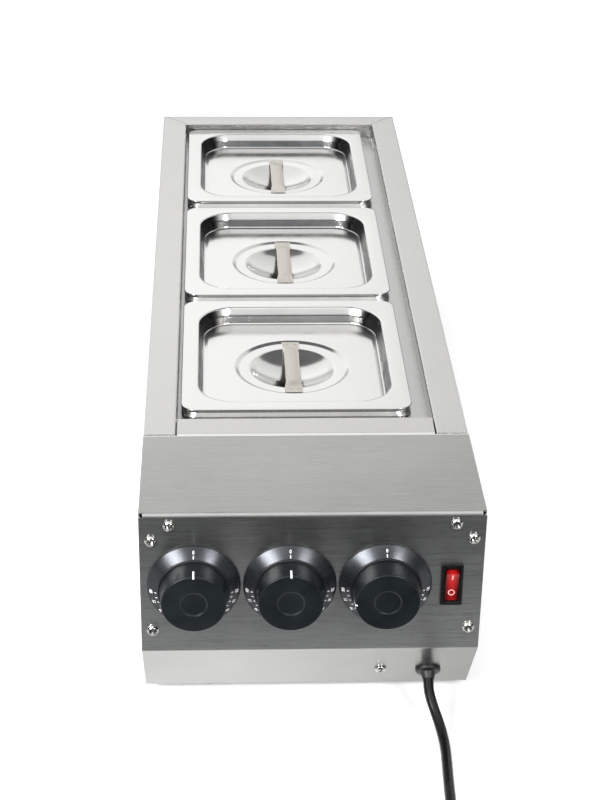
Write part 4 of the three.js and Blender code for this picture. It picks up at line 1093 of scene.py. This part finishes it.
def screw_mesh():
    """A pan head with a cross recess, its seat at the origin and its head towards the front."""
    outline = [(0, -9), (1.6, -9), (2, -8), (2, 0.1), (4, 0.1), (4, 1.1), (2.9, 2.35), (1.3, 2.6), (0, 2.6)]
    body = revolved(rounded(outline, [0.3, 0.3, 0.2, 0.2, 0.5, 1.2, 2.5], 4), 40, ORIGIN)
    cuts = []
    for upright in (False, True):
        rings = []
        for out, long, wide in ((3, 2.6, 0.72), (2.5, 2.45, 0.68), (0.8, 0.8, 0.45)):
            a, b = (wide, long) if upright else (long, wide)
            rings.append([(x, ORIGIN[1] - out, z) for x, z in ((a, b), (-a, b), (-a, -b), (a, -b))])
        cuts.append(lofted(rings))
    return carved(body, cuts)


def put_screw(name, node, mesh, place, tilt, roll):
    copy = mesh.copy()
    turn = Matrix.Rotation(tilt, 4, "X") @ Matrix.Rotation(roll, 4, "Y")
    copy.transform(Matrix.Translation(at(*place)) @ turn)
    dress(name, copy, SCREW_STEEL, "chassis", [node], 32)


head = screw_mesh()
for i, ((x, z), roll) in enumerate(zip(SCREWS, SCREW_ROLLS), 1):
    put_screw(f"cover_screw_{i}", f"panel_screw_{i}", head, (x, 0, z), 0, roll)
put_screw("ground_screw", "earth_screw", head, on_slope(*EARTH_SCREW, 0), SLOPE, 0.3)


def gland():
    inside = [(0, -12), (4.75, -12), (5.75, -1.3), (5.75, 0.1)]
    collar = [(8.5, 0.1), (8.5, 2.2), (7.4, 3), (5.2, 3)]
    nose = [(4.5, 5.5), (3.9, GLAND_NOSE), (0, GLAND_NOSE)]
    profile = rounded(inside + collar + nose, [0.4, 0.2, 0.1, 0.1, 0.9, 0.8, 0.6, 1.5, 0.2], 5)
    shape = revolved(profile, 56, ORIGIN)
    piece = put_up("lead_gland", shape, RUBBER, "chassis", ["cable_gland"], 40)
    piece.data.transform(Matrix.Translation(at(*on_slope(*GLAND, 0))) @ Matrix.Rotation(SLOPE, 4, "X"))


def foot(i, x, y):
    outline = [(0, 0), (7, 0), (8.2, 0.9), (8.9, 4), (9, 7.9), (2, 7.9), (2, 15.9), (0, 15.9)]
    points, faces = revolved(rounded(outline, [0.4, 1.2, 3, 0.4, 0.2, 0.3], 5), 48)
    shape = ([(x + px, y + pz, -py) for px, py, pz in points], faces)
    put_up(f"rubber_foot_{i}", shape, RUBBER, "chassis", [f"foot_{i}"], 40)


gland()
for i, (x, y) in enumerate(FEET, 1):
    foot(i, x, y)


# Plain floor and studio light
def stage_sheet(name, corners, finish):
    mesh = bpy.data.meshes.new(name)
    mesh.from_pydata(corners, [], [(0, 1, 2, 3)])
    mesh.materials.append(finish)
    piece = bpy.data.objects.new(name, mesh)
    bpy.context.scene.collection.objects.link(piece)
    return piece


def make_floor():
    """A matte white floor, which the machine doesn't mirror."""
    finish, _, shader = new_finish("floor_white", Roughness=0.9, Specular_IOR_Level=0.0)
    shader.inputs["Base Color"].default_value = (0.93, 0.93, 0.93, 1)
    half = 6
    corners = [(-half, -half, 0), (half, -half, 0), (half, half, 0), (-half, half, 0)]
    floor = stage_sheet("studio_floor", corners, finish)
    floor.visible_glossy = False


def make_flag():
    """A dark flag over the machine, which shows only as a mirror image in the metal."""
    left, right, front, back, height = -450, 440, 290, 738, 764
    finish, _, shader = new_finish("flag_dark", Roughness=1.0, Emission_Strength=0.13)
    shader.inputs["Base Color"].default_value = (0.02, 0.02, 0.02, 1)
    shader.inputs["Emission Color"].default_value = (1, 1, 1, 1)
    corners = [(left, front), (right, front), (right, back), (left, back)]
    flag = stage_sheet("overhead_flag", [at(x, y, height) for x, y in corners], finish)
    flag.visible_camera = False
    flag.visible_diffuse = False
    flag.visible_shadow = False


def make_light(name, place, target, size, power):
    data = bpy.data.lights.new(name, "AREA")
    data.shape = "ELLIPSE"
    data.size, data.size_y = size
    data.energy = power
    lamp = bpy.data.objects.new(name, data)
    lamp.location = place
    lamp.rotation_euler = (Vector(target) - Vector(place)).to_track_quat("-Z", "Y").to_euler()
    bpy.context.scene.collection.objects.link(lamp)
    return lamp


# Brightness round the machine by degrees: 0 behind it, 90 overhead, 180 in front and -90 below
LEVELS = (
    (-180, 0.08),
    (-165, 0.05),
    (-150, 0.05),
    (-142, 0.22),
    (-120, 0.45),
    (-98, 1.00),
    (-60, 1.15),
    (-8, 0.95),
    (0, 0.60),
    (12, 0.45),
    (17, 0.70),
    (21.5, 1.04),
    (40, 0.95),
    (60, 0.85),
    (84, 0.90),
    (98, 1.20),
    (130, 1.15),
    (146, 0.80),
    (157, 0.60),
    (164, 0.12),
    (180, 0.12),
)
WORLD_STRENGTH = 1.42


def world_ramp(node, angle):
    """The levels as a colour by angle, a little cool where the front is dark."""
    share = node("ShaderNodeMapRange", inputs={"Value": angle, "From Min": -math.pi, "From Max": math.pi})
    ramp = node("ShaderNodeValToRGB", inputs={0: share.outputs[0]})
    stops = ramp.color_ramp.elements
    while len(stops) < len(LEVELS):
        stops.new(0.5)
    for stop, (degrees, level) in zip(stops, LEVELS):
        stop.position = (degrees + 180) / 360
        cool = 0.06 if abs(degrees) > 120 and level < 0.5 else 0
        stop.color = (level * (1 - cool), level, level * (1 + cool), 1)
    return ramp.outputs[0]


def make_world():
    """What the metal mirrors: the levels round the machine, and dimmer walls to its left and right.

    The camera and the matte surfaces see plain white instead.
    """
    world = bpy.data.worlds.new("studio")
    bpy.context.scene.world = world
    world.use_nodes = True
    node = nodes_of(world.node_tree)
    link = world.node_tree.links.new
    back = world.node_tree.nodes["Background"]
    out = world.node_tree.nodes["World Output"]
    place = node("ShaderNodeTexCoord")
    way = node("ShaderNodeSeparateXYZ", inputs={0: place.outputs["Generated"]}).outputs
    angle = node("ShaderNodeMath", operation="ARCTAN2", inputs={0: way["Z"], 1: way["Y"]})
    fall = spread(node, way["X"], 0.02, 0.14, 1.0, 0.80)
    round_machine = scaled(node, world_ramp(node, angle.outputs[0]), fall)

    lower = spread(node, way["Z"], -0.15, 0.0, 0.25, 0.0)
    reach = node("ShaderNodeMath", operation="ADD", inputs={0: unsigned(node, way["X"]), 1: lower})
    amount = node(
        "ShaderNodeMapRange",
        interpolation_type="SMOOTHSTEP",
        inputs={"Value": reach.outputs[0], "From Min": 0.55, "From Max": 0.90},
    )
    wall = node(
        "ShaderNodeMapRange",
        interpolation_type="SMOOTHSTEP",
        inputs={"Value": way["Z"], "From Min": 0.0, "From Max": -0.12, "To Min": 0.05, "To Max": 0.70},
    )
    mirrored = node("ShaderNodeMix", data_type="RGBA", inputs={"Factor": amount.outputs[0]})
    link(round_machine, mirrored.inputs[6])
    link(wall.outputs[0], mirrored.inputs[7])
    link(mirrored.outputs[2], back.inputs["Color"])
    back.inputs["Strength"].default_value = WORLD_STRENGTH

    plain = node("ShaderNodeBackground", inputs={"Color": (1, 1, 1, 1), "Strength": 1.0})
    path = node("ShaderNodeLightPath").outputs
    matte = node(
        "ShaderNodeMath",
        operation="MAXIMUM",
        inputs={0: path["Is Camera Ray"], 1: path["Is Diffuse Ray"]},
    )
    mix = node("ShaderNodeMixShader", inputs={0: matte.outputs[0], 1: back.outputs[0], 2: plain.outputs[0]})
    link(mix.outputs[0], out.inputs["Surface"])


make_floor()
make_world()
make_flag()
top = make_light("top_soft_box", (-0.3, -0.6, 2.0), (0, 0, 0.1), (1.2, 0.9), 14)
top.visible_glossy = False
make_light("left_soft_box", (-0.90, -1.25, 0.88), (0, 0, 0.15), (0.85, 0.45), 28)
make_light("right_soft_box", (0.68, -1.40, 0.92), (0, 0, 0.15), (0.42, 0.42), 10)
bpy.context.scene.view_settings.view_transform = "Standard"
